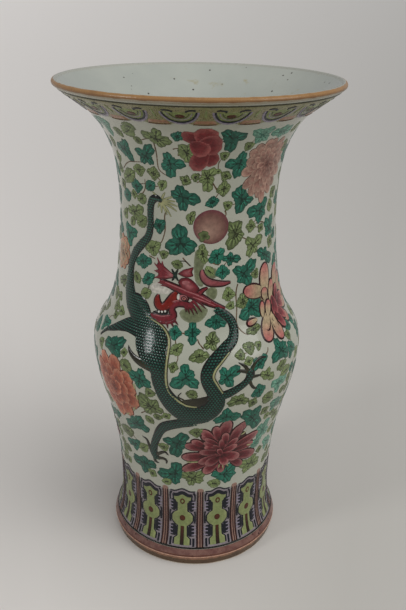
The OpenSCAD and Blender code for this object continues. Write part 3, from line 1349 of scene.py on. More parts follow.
def lobed(tips: Array, fullness: float, count: int = 72) -> Array:
    """Draws the toothed outline of a lobed leaf.

    Args:
        tips: The lobes' tips in millimetres from the leaf's heart.
        fullness: How much of the space between two lobes is filled, 0 to 1.
        count: Number of points round the outline, besides the tips.

    Returns:
        The outline's points.
    """
    reach = np.hypot(tips[:, 0], tips[:, 1])
    aim = np.arctan2(tips[:, 1], tips[:, 0])
    turn = np.sort(np.concatenate([np.linspace(-math.pi, math.pi, count, endpoint=False), aim]))
    away = np.abs((turn[:, None] - aim + math.pi) % (2 * math.pi) - math.pi)
    # Lobes swell round their aim, broader where there are only two, and end in a fine point
    spread, roundness = (1.2, 1.8) if len(tips) < 3 else (0.82, 2.8)
    lobes = reach * (0.97 * np.exp(-((away / spread) ** roundness)) + 0.05 * np.exp(-((away / 0.15) ** 2)))
    core = fullness * np.sort(reach)[: max(2, len(reach) - 1)].mean()
    edge = (core**9 + (lobes**9).sum(1)) ** (1 / 9)
    # Two waves of teeth, shifted by the lobes' lengths so that leaves differ
    edge *= 1.1 + 0.045 * np.sin(turn * 11 + reach[0]) + 0.035 * np.sin(turn * 17 + 2 * reach[-1])
    return np.column_stack([edge * np.cos(turn), edge * np.sin(turn)])


# A leaf: angle and height of its heart, then the way from there to each lobe's tip, to the right and up
Leaf = Sequence[float]


@dataclass
class Leafage:
    """The leaves and the twigs that join them."""

    skin: Skin
    ground: Ground
    seed: int = 7
    # Half of the front that the photograph shows, in degrees; leaves are scattered outside it
    shown_half: float = 63.0
    low: float = 93.0
    high: float = 411.0
    spacing: float = 15.5
    # Rows of scattered leaves are closer than their spacing by this factor
    crowding: float = 1.9
    # Least room that takes a scattered leaf, what its reach adds to the room, and the longest reaches
    least_room: float = 4.0
    room_gain: float = 2.5
    dark_reach: float = 9.5
    light_reach: float = 7.5
    dark_share: float = 0.62
    # Leaves with a shorter reach than this are nearly oval
    small: float = 9.0
    # Step of the search for gaps on the front, the least gap that takes a sprig, and a sprig's reach
    search: float = 3.2
    sprig_gap: float = 3.8
    sprig_reach: float = 6.4
    # Twigs join leaves that are this far apart on the front and round the back
    front_joins: Pair = (6, 15)
    back_joins: Pair = (9, 24)
    hearts: list[Spot] = field(default_factory=list)

    # Paint of a leaf, and of its edge and veins
    TEAL_PAINTS = (Paint.TEAL, Paint.TEAL_DEEP)
    LIME_PAINTS = (Paint.LIME, Paint.LIME_DEEP)
    TEAL = (
        (-50, 390, -8, 1, 4, 8, 5, -8), (-33, 388, -6.5, 4, 5.5, 9, -4, -6, 4, -6),
        (-17, 384, -2, 8.5, 8.5, 0, -0.5, -11, -5.5, -4), (-11, 407, -3, 1, 2, 4, 3, -2, -1, -4),
        (-45, 360.5, -6, 0.5, 5, 0.5, -1, 5.5, 0, -5.5), (-33, 363.5, -3.5, -3.5, 3.5, 3),
        (-10, 357, -3, 9, 10.5, -2, 0, -10.5, -7.5, 3), (-58, 350, -6, -1, 4.5, 2),
        (17, 406, -5, 6, 7.5, 1, 0.5, -11), (25.5, 384, 1, 9, -9, 0, -1.5, -11, 4, -4),
        (9.5, 353.5, -4.5, -2.5, 4, 1.5, 0.5, 4.5, -1, -4.5),
        (30, 354, -6.5, 6.5, -1, 11, 9, -1.5, -2, -11, 3, -7), (47, 341, -11, 1, 7, 9, 0, -10, 6.5, -4),
        (-56, 318, -5.5, 7, 8.5, 3, 0, -11), (-27, 331.5, -4, -1.5, 4, 4.5, 0, -6.5, -2, 5),
        (-11.5, 319, 0, 14, -3.5, 12, -10, -4, -6.5, -9, 10, -2, 6.5, -8),
        (-40, 298.5, -7, -2.5, 7, 2, -1, 5.5, 0, -6),
        (-35, 284.5, -4.5, -4, 4.5, 4.5, -0.5, 5.5, 0, -4.5),
        (-13, 245, -3.5, 1, 4, -0.5, 0, 5.5, 0, -5.5), (-2.5, 246, -4.5, -1, 4.5, 1, 0, 8, 0, -8.5),
        (13, 308.5, -5, -4.5, 4.5, 5.5, -2, 4.5, 1, -6.5),
        (22.5, 305.5, 7.5, -1.5, -5.5, 0.5, 0.5, 5, -0.5, -6), (17, 295, -5, -2, 5, -1, 0, 5.5, 0, -6),
        (33, 291, 10, 8, -7.5, 5, 5, -10.5, -4, -7), (54, 301.5, -7.5, 5, 9, -7.5, 2, 5.5, -4, -3.5),
        (12, 254, -6.5, -1.5, 6, -2.5, 1, 5.5, -1, -5.5),
        (37, 261, 8.5, 4, -8, -7.5, 7.5, -8, 2, 11, -6, -2), (60, 322, -5, 9, 6, 10, -4, -5, 6, -4),
        (-50, 223, -8.5, -1, 6.5, 7, 5.5, -6.5), (-30, 204, -8.5, 1, 1, 9, -1, -9.5, 6, -5),
        (-5, 212, -1, 10.5, -7, -9, 5.5, -8, 3.5, 5), (-38, 150, -9, -7.5, 5, 9.5, 8.5, -4, -3, 6),
        (-45, 120, -8, -1, 5.5, 6, 0, -7), (-38, 102, -11, -1, 9.5, 3, -1, -11, 1, 8),
        (-11, 138, -8.5, 2, 5, 12, -2.5, -15.5, 5, -4), (-14, 100, 2, 13.5, -12, -3.5, 0, -11.5, 5, 3),
        (15.5, 211, 6.5, 7, -3.5, -5, 2.5, -9, -2.5, 8),
        (35, 217.5, -5.5, -3.5, 4.5, 4.5, 1, -5.5, -4, 3.5), (51, 220, -2, 10, -7.5, -5, 7, -7, 6, 3),
        (35, 190, -4.5, -3, 4, 2, -1, 7, 1, -6.5), (17, 169.5, -0.5, 9, -6.5, -4, 8, -2.5),
        (34.5, 160, -7, 10, 6.5, -13, 3.5, 11, -3.5, -7), (20, 98.5, -8, 2.5, 8, 9.5, 4.5, -10, 9, -2.5),
        (62, 216, -3, 6, 5, -4, -2, -9), (-60, 145, -7, -2, 6, 4, 0, -6),
    )
    SAGE = (
        (48, 407, -7, 0, 2, 5, 9, 0, 2, -5), (34, 407, -6, 3.5, 6, 4.5, -1, -7, 5, -5),
        (50, 188.5, -6, 3.5, 8, 1.5, 0, -9.5, 2, 6.5), (48, 136, -5, 8, 7, -6, -2, -12, 4, 11),
        (44, 123, -4, 4, 4, -3), (60, 114, -6, 5, 7, -5, -2, -8), (54, 164, -6, 4, 8, -4, -4, -6),
        (-58, 410, -8, 2, 6, 2, 0, -10),
    )
    LIME = (
        (-39, 407.5, -4.5, -2.5, 4, 3.5), (-48, 405, -3, 2, 2, -4),
        (-23, 404, -7, 3.5, 2.5, 8, 8, -2, 3, -6.5, -3, -2), (-35, 400.5, -3, 1.5, 2, -2.5),
        (-7, 394, -3, 6, 4, 6, 1, -8, 4, -3), (-41, 375, -5, 0, 5, 1.5, 1, -5), (-52, 368, 6, 4, -8, -5),
        (-23.5, 366, -3.5, 0, 2.5, 3, -1.5, -5), (-2, 374, -2.5, 0, 2.5, 2.5, 0, -4),
        (-50, 338, -8, 0, 9, 4.5, 3, -6, -2, 5), (-42, 332, -5, -3, 4, 4), (-41, 351, -5, -1, 3, 3),
        (-5, 340.5, -2.5, 0.5, 2.5, 5, 0, -5.5),
        (5.5, 373.5, 4.5, 7, -5, -2.5, 0.5, -11, 4, -2.5, -2.5, 6), (12, 378.5, -2, 0.5, 2, -0.5),
        (16.5, 364, -4.5, -2, 4, 2, 0.5, 6, -0.5, -6), (20, 350, -3, 2.5, 3, 2, -1, -4),
        (26, 326, -4, 9, 3.5, 9.5, 6.5, -3, -4, -12, 3, -8),
        (41, 313, -5.5, 6.5, 9.5, 5, -4, -8.5, 4, -6), (3, 311, -3, -3, 3.5, 1, 0, 7.5, 2, -8),
        (8, 296, -2, 4, 3, -3), (-32, 312, -6, -2, 5.5, 4.5, 1, -6.5), (-13.5, 301, -4, 1, 3.5, -1),
        (-45, 282.5, -2.5, 4.5, 3, -3.5), (-36, 272, -4, -2, 4, 3), (-60, 275, -7, -3, 6, 3, 0, -6),
        (-11, 233, -4, -2.5, 3, 4, 1, -4), (1.5, 229, -5, -2, 5, 1, 0.5, 4.5),
        (8.5, 238.5, -4, -3.5, 4.5, 2, 1.5, 7.5, -2.5, 4.5, 1.5, -5.5),
        (36, 243, -5, -1, 5.5, 1, 1, 4, -1, -3.5), (21, 275.5, -4, -2.5, 4.5, -1, -0.5, 6, -1, -5.5),
        (31, 267, -5, -2, 5, 1, 0, 7, 1, -6), (-24, 177, -7, 10, -4, -8, 6, -3, 3, 8, -8, 0),
        (-39, 211, -4, 2.5, 4, -3), (-37, 121, -3.5, -2, 4, 5), (-50, 132, -8, -2, 6, 4),
        (0.5, 153, -4, 0, 4.5, 2.5, 0.5, -6), (-2, 97, -7.5, 4, 8, 6, -1, -8.5, 7, -4),
        (-20, 89, -4, -1, 3, 2), (14, 89, -5, 2, 4, -1), (39, 204, -4, 3.5, 5.5, -5, 2, 6),
        (23, 186, -6, -2.5, 5.5, -3.5, 2, 5.5, -4, 4), (51, 206, -4, -1, 4.5, 2, 0, -5),
        (43, 178, -4, 3, 4.5, -4), (42, 100, -9, 4.5, 10, -3, -5, -7.5, 5, 8),
        (55.5, 198, -4.5, -2, 5.5, -1), (-36, 412, -4, 1, 3, -2), (-3, 103, -3, 2, 3, -2),
    )
    TWIGS = (
        ((-32, 401.5), (-28, 403), (-25.3, 401.5), (-25, 392), (-25.5, 383), (-25, 378), (-22, 375),
         (-18, 372.5)),
        ((-14.5, 396), (-11, 397), (-8, 394)), ((-12, 391), (-9, 392.5), (-7, 390)),
        ((-59, 372), (-51, 379), (-44, 381), (-38, 382)),
        ((-44, 354), (-40, 356), (-37.5, 361), (-37, 368)),
        ((-21, 346), (-23, 340), (-22.6, 330), (-24, 322), (-26, 317), (-29, 313)),
        ((-35, 304.5), (-30, 303)), ((-10, 307), (-5, 300.5)),
        ((28, 283), (26.3, 275), (26.2, 262), (25.2, 251), (27, 245), (31, 240.5), (36, 241)),
        ((-10, 245), (-8, 245), (-6, 245)), ((45, 306), (38, 316), (33, 321), (27, 321)),
        ((38.5, 222), (41, 224), (42, 227)), ((10, 303), (14, 301), (16, 304)),
        ((-42, 212), (-38, 211), (-35, 207)), ((-45, 133), (-44, 129), (-40, 126)),
        ((4, 234), (1.5, 238), (0.5, 241)), ((2, 371), (-1, 369.5)), ((13, 361), (9, 369), (7, 372)),
        ((18, 346), (19, 343), (18, 340)), ((44, 331), (52, 330), (56, 322)),
        ((-32, 166), (-27, 172), (-24, 178)),
    )

    def build(self) -> None:
        """Paints the leaves of the front as the photograph shows them, and scatters more round the back."""
        teal, lime, twigs = (EnamelSheet(self.skin) for _ in range(3))
        draw = Random(self.seed)
        for sheet, leaves, paints in (
            (teal, self.TEAL, self.TEAL_PAINTS),
            (teal, self.SAGE, (Paint.SAGE, Paint.TEAL)),
            (lime, self.LIME, self.LIME_PAINTS),
        ):
            for leaf in leaves:
                self._leaf(sheet, leaf, paints, draw)
        for twig in self.TWIGS:
            self._twig(twigs, twig)
        self.ground.cover(teal, lime, twigs)
        self._fill(lime)
        self._scatter(teal, lime, draw)
        self._join(twigs, draw)
        finish = Enamel("leaf_enamel", mottle=0.42).make()
        settle(teal.build("teal_leaves", finish), "green_enamel")
        settle(lime.build("lime_leaves", finish), "lime_enamel")
        settle(twigs.build("twigs", finish), "green_enamel")

    def _leaf(self, sheet: EnamelSheet, leaf: Leaf, paints: tuple[Paint, Paint], draw: Random) -> None:
        """Paints one leaf with its veins.

        Args:
            sheet: Where it is painted.
            leaf: Its heart and its lobes.
            paints: Paint of the leaf, and of its edge and veins.
            draw: Source of its small differences in tone.
        """
        heart = tuple(leaf[:2])
        local = np.reshape(leaf[2:], (-1, 2)) * self.skin.unit(heart[1])
        body, deep = paints
        tones = Tones(tinted(body.colour, 0.8), tinted(body.colour, 1.3), deep.colour)
        tones = tones.shifted(draw.uniform(-0.25, 0.25))
        reach = np.hypot(*local.T)
        outline = lobed(local, 0.82, 44) if reach.max() < self.small else lobed(local, 0.62)
        sheet.patch(heart, outline, tones, 0.14, 0.2, turnover=0.84)
        vein, streak = Tones.of(deep), Tones.of(body).shifted(0.75)
        for tip in local:
            aside = np.array([-tip[1], tip[0]])
            self._vein(sheet, heart, 0 * tip, 0.86 * tip, 2.2, vein)
            for side in (-1, 1):
                self._vein(sheet, heart, 0.25 * tip, 0.62 * tip + side * 0.32 * aside, 1.6, vein)
                start, end = 0.4 * tip + side * 0.1 * aside, 0.84 * tip + side * 0.16 * aside
                self._vein(sheet, heart, start, end, 1.3, streak)
        self.hearts.append(heart)
        self.ground.claim(heart, float(reach.mean()))

    def _vein(
        self, sheet: EnamelSheet, heart: Spot, start: Array, end: Array, width: float, tones: Tones
    ) -> None:
        """Draws a vein between two places of a leaf.

        Args:
            sheet: Where it is drawn.
            heart: The leaf's heart.
            start: Where it starts, in millimetres from the heart.
            end: Where it ends, in millimetres from the heart.
            width: Its width at the start.
            tones: Its colour.
        """
        unit = self.skin.unit(heart[1])
        path = [(*(heart + start / unit), width), (*(heart + end / unit), 0.4 * width)]
        sheet.line(path, tones, 0.33, 0.22, 4.0)

    def _twig(self, sheet: EnamelSheet, path: Sequence[Spot], width: float = 1.7) -> None:
        """Paints a twig that thins towards its end."""
        touches = [(a, z, width * (1 - 0.4 * i / len(path))) for i, (a, z) in enumerate(path)]
        sheet.line(touches, Tones.of(Paint.TWIG))

    def _fill(self, lime: EnamelSheet) -> None:
        """Paints sprigs in the gaps of the shown front, the widest gaps first.

        Args:
            lime: Where they are painted.
        """
        draw = Random(self.seed)
        tree = self.ground.finder()
        gaps = []
        for height in np.arange(self.low, self.high, self.search):
            step = self.search / self.skin.degree(height)
            for angle in np.arange(-self.shown_half, self.shown_half, step):
                spot = (angle + draw.uniform(-0.8, 0.8), height + draw.uniform(-1, 1))
                gap = tree.find(self.skin.place(*spot, 0))[2] / MM
                if gap > self.sprig_gap:
                    gaps.append((gap, spot))
        sprigs: list[Touch] = []
        for free, spot in sorted(gaps, reverse=True):
            gap = min([free, *(self.ground.gap(spot, other[:2]) - other[2] for other in sprigs)])
            if gap > self.sprig_gap:
                reach = min(self.sprig_reach, gap + 1.0)
                self._leaf(lime, self._random_leaf(spot, reach, draw), self.LIME_PAINTS, draw)
                sprigs.append((*spot, 0.8 * reach))

    def _scatter(self, teal: EnamelSheet, lime: EnamelSheet, draw: Random) -> None:
        """Paints leaves wherever there is room outside the shown front.

        Args:
            teal: Where the dark leaves are painted.
            lime: Where the light leaves are painted.
            draw: Source of their places and forms.
        """
        rows = int((self.high - self.low) / self.spacing * self.crowding)
        for row in range(rows):
            height = self.low + (self.high - self.low) * (row + 0.5) / rows
            count = int(360 * self.skin.degree(height) / self.spacing)
            for column in range(count):
                angle = 360 * (column + 0.5 * (row % 2) + draw.uniform(-0.3, 0.3)) / count - 180
                spot = (angle, height + draw.uniform(-4, 4))
                room = self.ground.room(spot)
                if abs(angle) > self.shown_half and room > self.least_room:
                    dark = draw.random() < self.dark_share
                    longest = self.dark_reach if dark else self.light_reach
                    leaf = self._random_leaf(spot, min(longest, room + self.room_gain), draw)
                    sheet, paints = (teal, self.TEAL_PAINTS) if dark else (lime, self.LIME_PAINTS)
                    self._leaf(sheet, leaf, paints, draw)

    def _random_leaf(self, heart: Spot, reach: float, draw: Random) -> Leaf:
        """Makes a leaf of two to four lobes.

        Args:
            heart: Where it is.
            reach: Length of its longest lobe in millimetres.
            draw: Source of its form.

        Returns:
            The leaf.
        """
        lobes = draw.choice((2, 3, 3, 4, 4))
        first = draw.uniform(0, 2 * math.pi)
        unit = self.skin.unit(heart[1])
        leaf = [*heart]
        for index in range(lobes):
            turn = first + 2 * math.pi * (index + draw.uniform(-0.14, 0.14)) / lobes
            length = reach * draw.uniform(0.72, 1.0)
            leaf.extend(length * np.array([math.cos(turn), math.sin(turn)]) / unit)
        return leaf

    def _join(self, sheet: EnamelSheet, draw: Random) -> None:
        """Joins leaves, each to a near one, with thin bent twigs.

        Args:
            sheet: Where they are painted.
            draw: Source of their bends.
        """
        for index, heart in enumerate(self.hearts[1:], 1):
            near = min(self.hearts[:index], key=lambda other: self.ground.gap(heart, other))
            near = (heart[0] + (near[0] - heart[0] + 180) % 360 - 180, near[1])
            least, most = self.back_joins if abs(heart[0]) > self.shown_half else self.front_joins
            if least < self.ground.gap(heart, near) < most:
                middle = ((heart[0] + near[0]) / 2, (heart[1] + near[1]) / 2)
                bend = draw.uniform(-0.22, 0.22)
                across, rise = near[0] - heart[0], near[1] - heart[1]
                bowed = (middle[0] - bend * rise / self.skin.degree(middle[1]), middle[1] + bend * across)
                self._twig(sheet, [heart, bowed, near], 1.3)


# A petal: angle and height of its root, angle and height of its tip, and its width in millimetres
Petal = tuple[float, float, float, float, float]


def whorl(
    centre: Spot, half: Sequence[float], rows: Sequence[tuple[int, float, float, float]], seed: int
) -> tuple[Petal, ...]:
    """Arranges petals in rows round the heart of a flower.

    Args:
        centre: The heart.
        half: The flower's reach in degrees to a side, and in millimetres up and down.
        rows: Petals in a row, shares of the reach where they start and end, and width, from the outside in.
        seed: Source of small differences between the petals.

    Returns:
        The petals, from the back to the front.
    """
    draw = Random(seed)
    petals = []
    for index, (count, base, tip, width) in enumerate(rows):
        for step in range(count):
            turn = 2 * math.pi * (step + 0.5 * (index % 2) + draw.uniform(-0.2, 0.2)) / count
            across = half[0] * math.cos(turn)
            rise = (half[1] if math.sin(turn) > 0 else half[2]) * math.sin(turn)
            end = tip * draw.uniform(0.9, 1.06)
            root = (centre[0] + base * across, centre[1] + base * rise)
            top = (centre[0] + end * across, centre[1] + end * rise)
            petals.append((*root, *top, width * draw.uniform(0.85, 1.1)))
    return tuple(petals)


def fan(centre: Spot, share: float, tips: Path) -> tuple[Petal, ...]:
    """Returns petals that end at tips, each with a width, and start a share of the way out of a centre."""
    angle, height = centre
    return tuple((angle + share * (a - angle), height + share * (z - height), a, z, w) for a, z, w in tips)


@dataclass(frozen=True)
class Bloom:
    """A flower: its petals from the back to the front, their colours and how their rims run."""

    petals: tuple[Petal, ...]
    tones: Tones
    outline: Paint
    wave: float = 0.0
    rim: float = 1.2
    # Petals of another colour in front of the rest
    heart: tuple[Petal, ...] = ()
    heart_tones: Tones | None = None
    # Light dashes between the petals, each from one spot to another
    dashes: tuple[tuple[Spot, Spot], ...] = ()
    # Share of the flower's half size that the dark ground under its petals covers
    ground_share: float = 0.66
    # Colour that the main petals turn to at their tips
    flush: Paint | None = None
    # Where a petal's fold lines end, as shares of its width
    folds: tuple[float, ...] = (-0.26, 0, 0.26)

    def span(self) -> tuple[Array, Array]:
        """Returns the flower's middle and half of what it spans, in degrees and millimetres of height."""
        tips = np.array([petal[2:4] for petal in self.petals])
        return (tips.min(0) + tips.max(0)) / 2, (tips.max(0) - tips.min(0)) / 2

    def paint(self, sheet: EnamelSheet, draw: Random, turn: float = 0.0) -> None:
        """Paints the flower.

        Args:
            sheet: Where it is painted.
            draw: Source of its small differences.
            turn: Degrees that it is turned round the vase.
        """
        middle, half = self.span()
        ground = Tones(self.tones.start, self.tones.start, self.outline.colour)
        sheet.oval(tuple(middle + (turn, 0)), half * self.ground_share, ground, 0.08, 0.02)
        rise = 0.5 / len(self.petals)
        for index, petal in enumerate(self.petals):
            self._petal(sheet, petal, self.tones, turn, 0.14 + rise * index, draw, self.flush)
        for index, petal in enumerate(self.heart):
            self._petal(sheet, petal, self.heart_tones, turn, 0.66 + 0.03 * index, draw)
        for (start, low), (end, high) in self.dashes:
            path = [(start + turn, low, 1.6), (end + turn, high, 0.6)]
            sheet.stroke(path, Tones.of(Paint.YELLOW), 0.7, 0.08, 3.0)

    def _petal(
        self,
        sheet: EnamelSheet,
        petal: Petal,
        tones: Tones,
        turn: float,
        lift: float,
        draw: Random,
        flush: Paint | None = None,
    ) -> None:
        """Paints one petal over its dark outline, with fold lines from its root.

        Args:
            sheet: Where it is painted.
            petal: Its root, tip and width.
            tones: Its colours at the root, past the middle and at the rim.
            turn: Degrees that the flower is turned round the vase.
            lift: Thickness of the enamel under it.
            draw: Source of its tone.
            flush: Colour of its tip, if that is another one.
        """
        root, tip = np.array([[petal[0] + turn, petal[1]], [petal[2] + turn, petal[3]]])
        unit = float(sheet.skin.degree(root[1]))
        width = petal[4]
        run = tip - root
        length = math.hypot(run[0] * unit, run[1])
        far = tip + run * 0.5 * self.rim / length
        sheet.petal(tuple(root), tuple(far), width + self.rim, Tones.of(self.outline), lift, wave=self.wave)
        shade = tones.shifted(draw.uniform(-0.18, 0.18))
        sheet.petal(tuple(root), tuple(tip), width, shade, lift + 0.06, lift + 0.03, self.wave, flush)
        fold = tuple(blend(tones.start, self.outline.colour, 0.7))
        side = np.array([-run[1] / unit, run[0] * unit]) / length
        for out in self.folds:
            ends = (root + 0.1 * run + 0.3 * out * width * side, root + 0.72 * run + out * width * side)
            path = [(*ends[0], 1.2), (*ends[1], 0.5)]
            sheet.line(path, Tones(fold, shade.end, fold), lift + 0.15, lift + 0.1)


@dataclass
class Flowers:
    """The flowers and the peaches among the leaves."""

    skin: Skin
    ground: Ground
    seed: int = 11

    PALE = Bloom(
        whorl(
            (47, 381), (19.5, 21, 32),
            (
                (17, 0.4, 1.0, 8), (16, 0.3, 0.84, 7), (14, 0.22, 0.66, 6), (11, 0.12, 0.48, 5.5),
                (7, 0.02, 0.28, 4.5),
            ),
            3,
        ),
        Tones.of(Paint.BLUSH_DEEP, Paint.BLUSH, Paint.BLUSH_PALE), Paint.BLUSH_DEEP, rim=1.0,
    )
    PLUM = Bloom(
        (
            (20, 138, 31, 158, 9.5), (16, 138, 18.5, 165, 10.5), (15, 140, 11.5, 159, 7.5),
            (12, 140, 3.5, 156, 7.5), (11, 138, 4, 149.5, 6), (6, 133, -6.5, 136.5, 8.5),
            (6, 135, -2, 143, 7), (8, 124, -8.5, 121.5, 9.5), (10, 118, -8.5, 106, 9.5),
            (17, 117, 18, 101.5, 7.5), (15, 116, 6, 102.5, 9.5), (24, 116, 34, 104, 7.5),
            (22, 132, 27.5, 156, 10), (25, 126, 41, 127, 7.5), (24, 130, 43.5, 138, 9.5),
            (26, 120, 44.5, 112, 10.5), (14, 136, 5.5, 145.5, 5.5), (13, 133, 5, 140.5, 5),
            (13, 131, 5.5, 135, 5), (19, 136, 17.8, 150, 7), (20, 132, 27, 140, 7),
            (17.5, 129, 16.5, 143, 7), (16, 130, 10, 136, 5.5), (15, 127, 2.5, 129, 7.5),
            (15, 123, 2, 115.5, 8.5), (17, 127, 27.5, 131.5, 7.5), (17, 124, 30.5, 115.5, 10.5),
            (17, 123, 21, 110, 8.5), (16, 122, 7, 112.5, 9.5), (17, 124, 14.5, 131.5, 5),
        ),
        Tones.of(Paint.PLUM_DEEP, Paint.PLUM, Paint.PLUM_PALE), Paint.PLUM_DEEP, rim=2.9,
        dashes=(
            ((18.5, 112), (19.5, 104)), ((16.5, 113), (16, 106)), ((21, 112), (23.5, 106)),
            ((34, 127), (41, 125)), ((3, 116.8), (-6, 116)), ((29, 142), (33, 146)),
        ),
    )
    CORAL = Bloom(
        (
            *fan((-48.5, 184.5), 0.3, (
                (-60, 213, 13), (-48, 216, 16), (-36, 204, 14), (-33.5, 192, 16), (-32.5, 174, 17),
                (-41, 157, 15), (-50.5, 152, 14), (-58, 163, 14), (-63, 176, 13), (-66, 190, 13),
                (-65, 202, 12),
            )),
            *fan((-48.5, 184.5), 0.2, (
                (-55, 204, 12), (-43, 204, 14), (-38.5, 188, 13), (-39.5, 173, 13), (-48, 165, 12),
                (-56.5, 176, 12), (-59, 190, 11),
            )),
            *fan((-48.5, 184.5), 0.1, (
                (-51, 195, 9), (-44.5, 191, 9), (-44.5, 180, 9), (-50, 175, 9), (-54, 185, 9),
            )),
        ),
        Tones.of(Paint.CORAL_DEEP, Paint.CORAL, Paint.CORAL_PALE), Paint.CORAL_DEEP, 0.03, 2.2,
        dashes=(
            ((-35, 172), (-38, 164)), ((-33, 186), (-32.5, 179)), ((-34, 197), (-33, 191)),
            ((-41, 160), (-46, 155)),
        ),
    )
    CREAM = Bloom(
        (
            (68, 262, 79, 277, 10), (70, 256, 83, 263, 10), (70, 250, 82, 249, 10), (66, 244, 75, 236, 9),
            (64, 266, 71, 288, 11), (51.5, 266, 54, 293.5, 13), (51, 270, 32.6, 275.8, 11.5),
            (51, 252, 44, 231, 11.5), (54.5, 249, 56.4, 228, 10), (45.8, 250, 47.4, 262, 5.5),
            (56.5, 261, 61.5, 276.5, 8), (50.5, 263, 51.2, 273, 8), (50.6, 249, 54.2, 261, 7.5),
            (40, 249.6, 32.8, 248, 4.5),
        ),
        Tones.of(Paint.CREAM), Paint.CRIMSON_DEEP, rim=3.4,
        heart=(
            (64, 258, 75.5, 257, 8), (63, 257, 74, 248, 8), (61, 251, 71.5, 239, 8),
            (58, 250, 65, 234, 8), (58.5, 261.5, 62, 243, 10), (63.6, 257.5, 67, 270.5, 7.5),
            (59, 258, 57.6, 247, 5),
        ),
        heart_tones=Tones.of(Paint.CRIMSON_DEEP, Paint.CRIMSON, Paint.ROSE),
        ground_share=0.5, flush=Paint.ROSE, folds=(),
    )
    SALMON = Bloom(
        whorl((-65, 298), (10, 16, 16), ((10, 0.3, 1.0, 8), (8, 0.15, 0.72, 7), (5, 0.02, 0.42, 5.5)), 5),
        Tones.of(Paint.CORAL_DEEP, Paint.CREAM, Paint.CORAL_PALE), Paint.CREAM_DEEP,
    )
    RED = Bloom(
        (
            (4, 403, -9.5, 409, 11), (3, 401, 4, 414.5, 17), (4, 394, 9.5, 384, 13),
            (4, 396, -3, 379.5, 14), (0, 400, 12.5, 401, 19), (-3.5, 402, 5, 393, 15),
        ),
        Tones.of(Paint.RED_DEEP, Paint.RED, Paint.RED_PALE), Paint.RED_DEEP, 0.02, 0.3, ground_share=0.4,
    )
    PEACH_MIDDLE = (9.0, 333.0)
    PEACH_HALF = (12.2, 14.2)
    PEACH_ROOM = 15
    # The palest place, and where the leaves grow from, both from the middle
    PEACH_HEART = (-3.4, -6.0)
    PEACH_FOOT = (-4.5, -7.5)
    PEACH_RINGS = np.array([0.2, 0.4, 0.6, 0.78, 0.9, 0.97, 1.0])
    # Leaves at the peach's foot: how far each reaches to the right and up, and its width
    PEACH_LEAVES = ((-4.6, 2.6, 4.4), (-3, -4.6, 4.4), (4, -1.5, 4.6), (1.5, 4.8, 4.8), (-1.5, 5.2, 4.0))

    def build(self) -> None:
        """Paints the flowers of the front and their sisters round the back."""
        draw = Random(self.seed)
        named = (
            ("pale_chrysanthemum", self.PALE, "pink_enamel", (165,)),
            ("plum_chrysanthemum", self.PLUM, "rose_enamel", (128, 246)),
            ("coral_peony", self.CORAL, "rose_enamel", (160, 258)),
            ("cream_peony", self.CREAM, "pink_enamel", (126,)),
            ("salmon_peony", self.SALMON, "pink_enamel", (-62,)),
            ("red_blossoms", self.RED, "rose_enamel", (118, 230)),
        )
        for name, bloom, slot, copies in named:
            sheet = EnamelSheet(self.skin)
            (angle, height), half = bloom.span()
            reach = 0.9 * (half[0] * float(self.skin.degree(height)) + half[1]) / 2
            for turn in (0, *copies):
                bloom.paint(sheet, draw, turn)
                self.ground.claim((angle + turn, height), reach)
            self.ground.cover(sheet)
            settle(sheet.build(name, Enamel(name + "_enamel").make()), slot)
        self._peaches((0, 160))

    def _peaches(self, turns: Iterable[float]) -> None:
        """Paints the peaches, flushed from yellow at the lower left to mauve at the edge.

        Args:
            turns: Degrees that each is turned round the vase.
        """
        sheet = EnamelSheet(self.skin)
        tones = Tones.of(Paint.BLUSH_PALE, Paint.PEACH, Paint.PEACH_EDGE)
        green = Tones.of(Paint.LIME_DEEP, Paint.LIME, Paint.LIME_DEEP)
        for turn in turns:
            spot = np.add(self.PEACH_MIDDLE, (turn, 0))
            rim = ring(56) * self.PEACH_HALF - np.array(self.PEACH_HEART)
            rim[:, 0] *= self.skin.degree(spot[1])
            heart = tuple(spot + self.PEACH_HEART)
            sheet.patch(heart, rim, tones, 0.2, 0.35, self.PEACH_RINGS, turnover=0.8)
            root = spot + self.PEACH_FOOT
            for across, rise, width in self.PEACH_LEAVES:
                sheet.petal(tuple(root), tuple(root + (across, rise)), width, green, 0.56)
            self.ground.claim(tuple(spot), self.PEACH_ROOM)
        self.ground.cover(sheet)
        settle(sheet.build("peaches", Enamel("peach_enamel", 0.2, 0.004).make()), "pink_enamel")


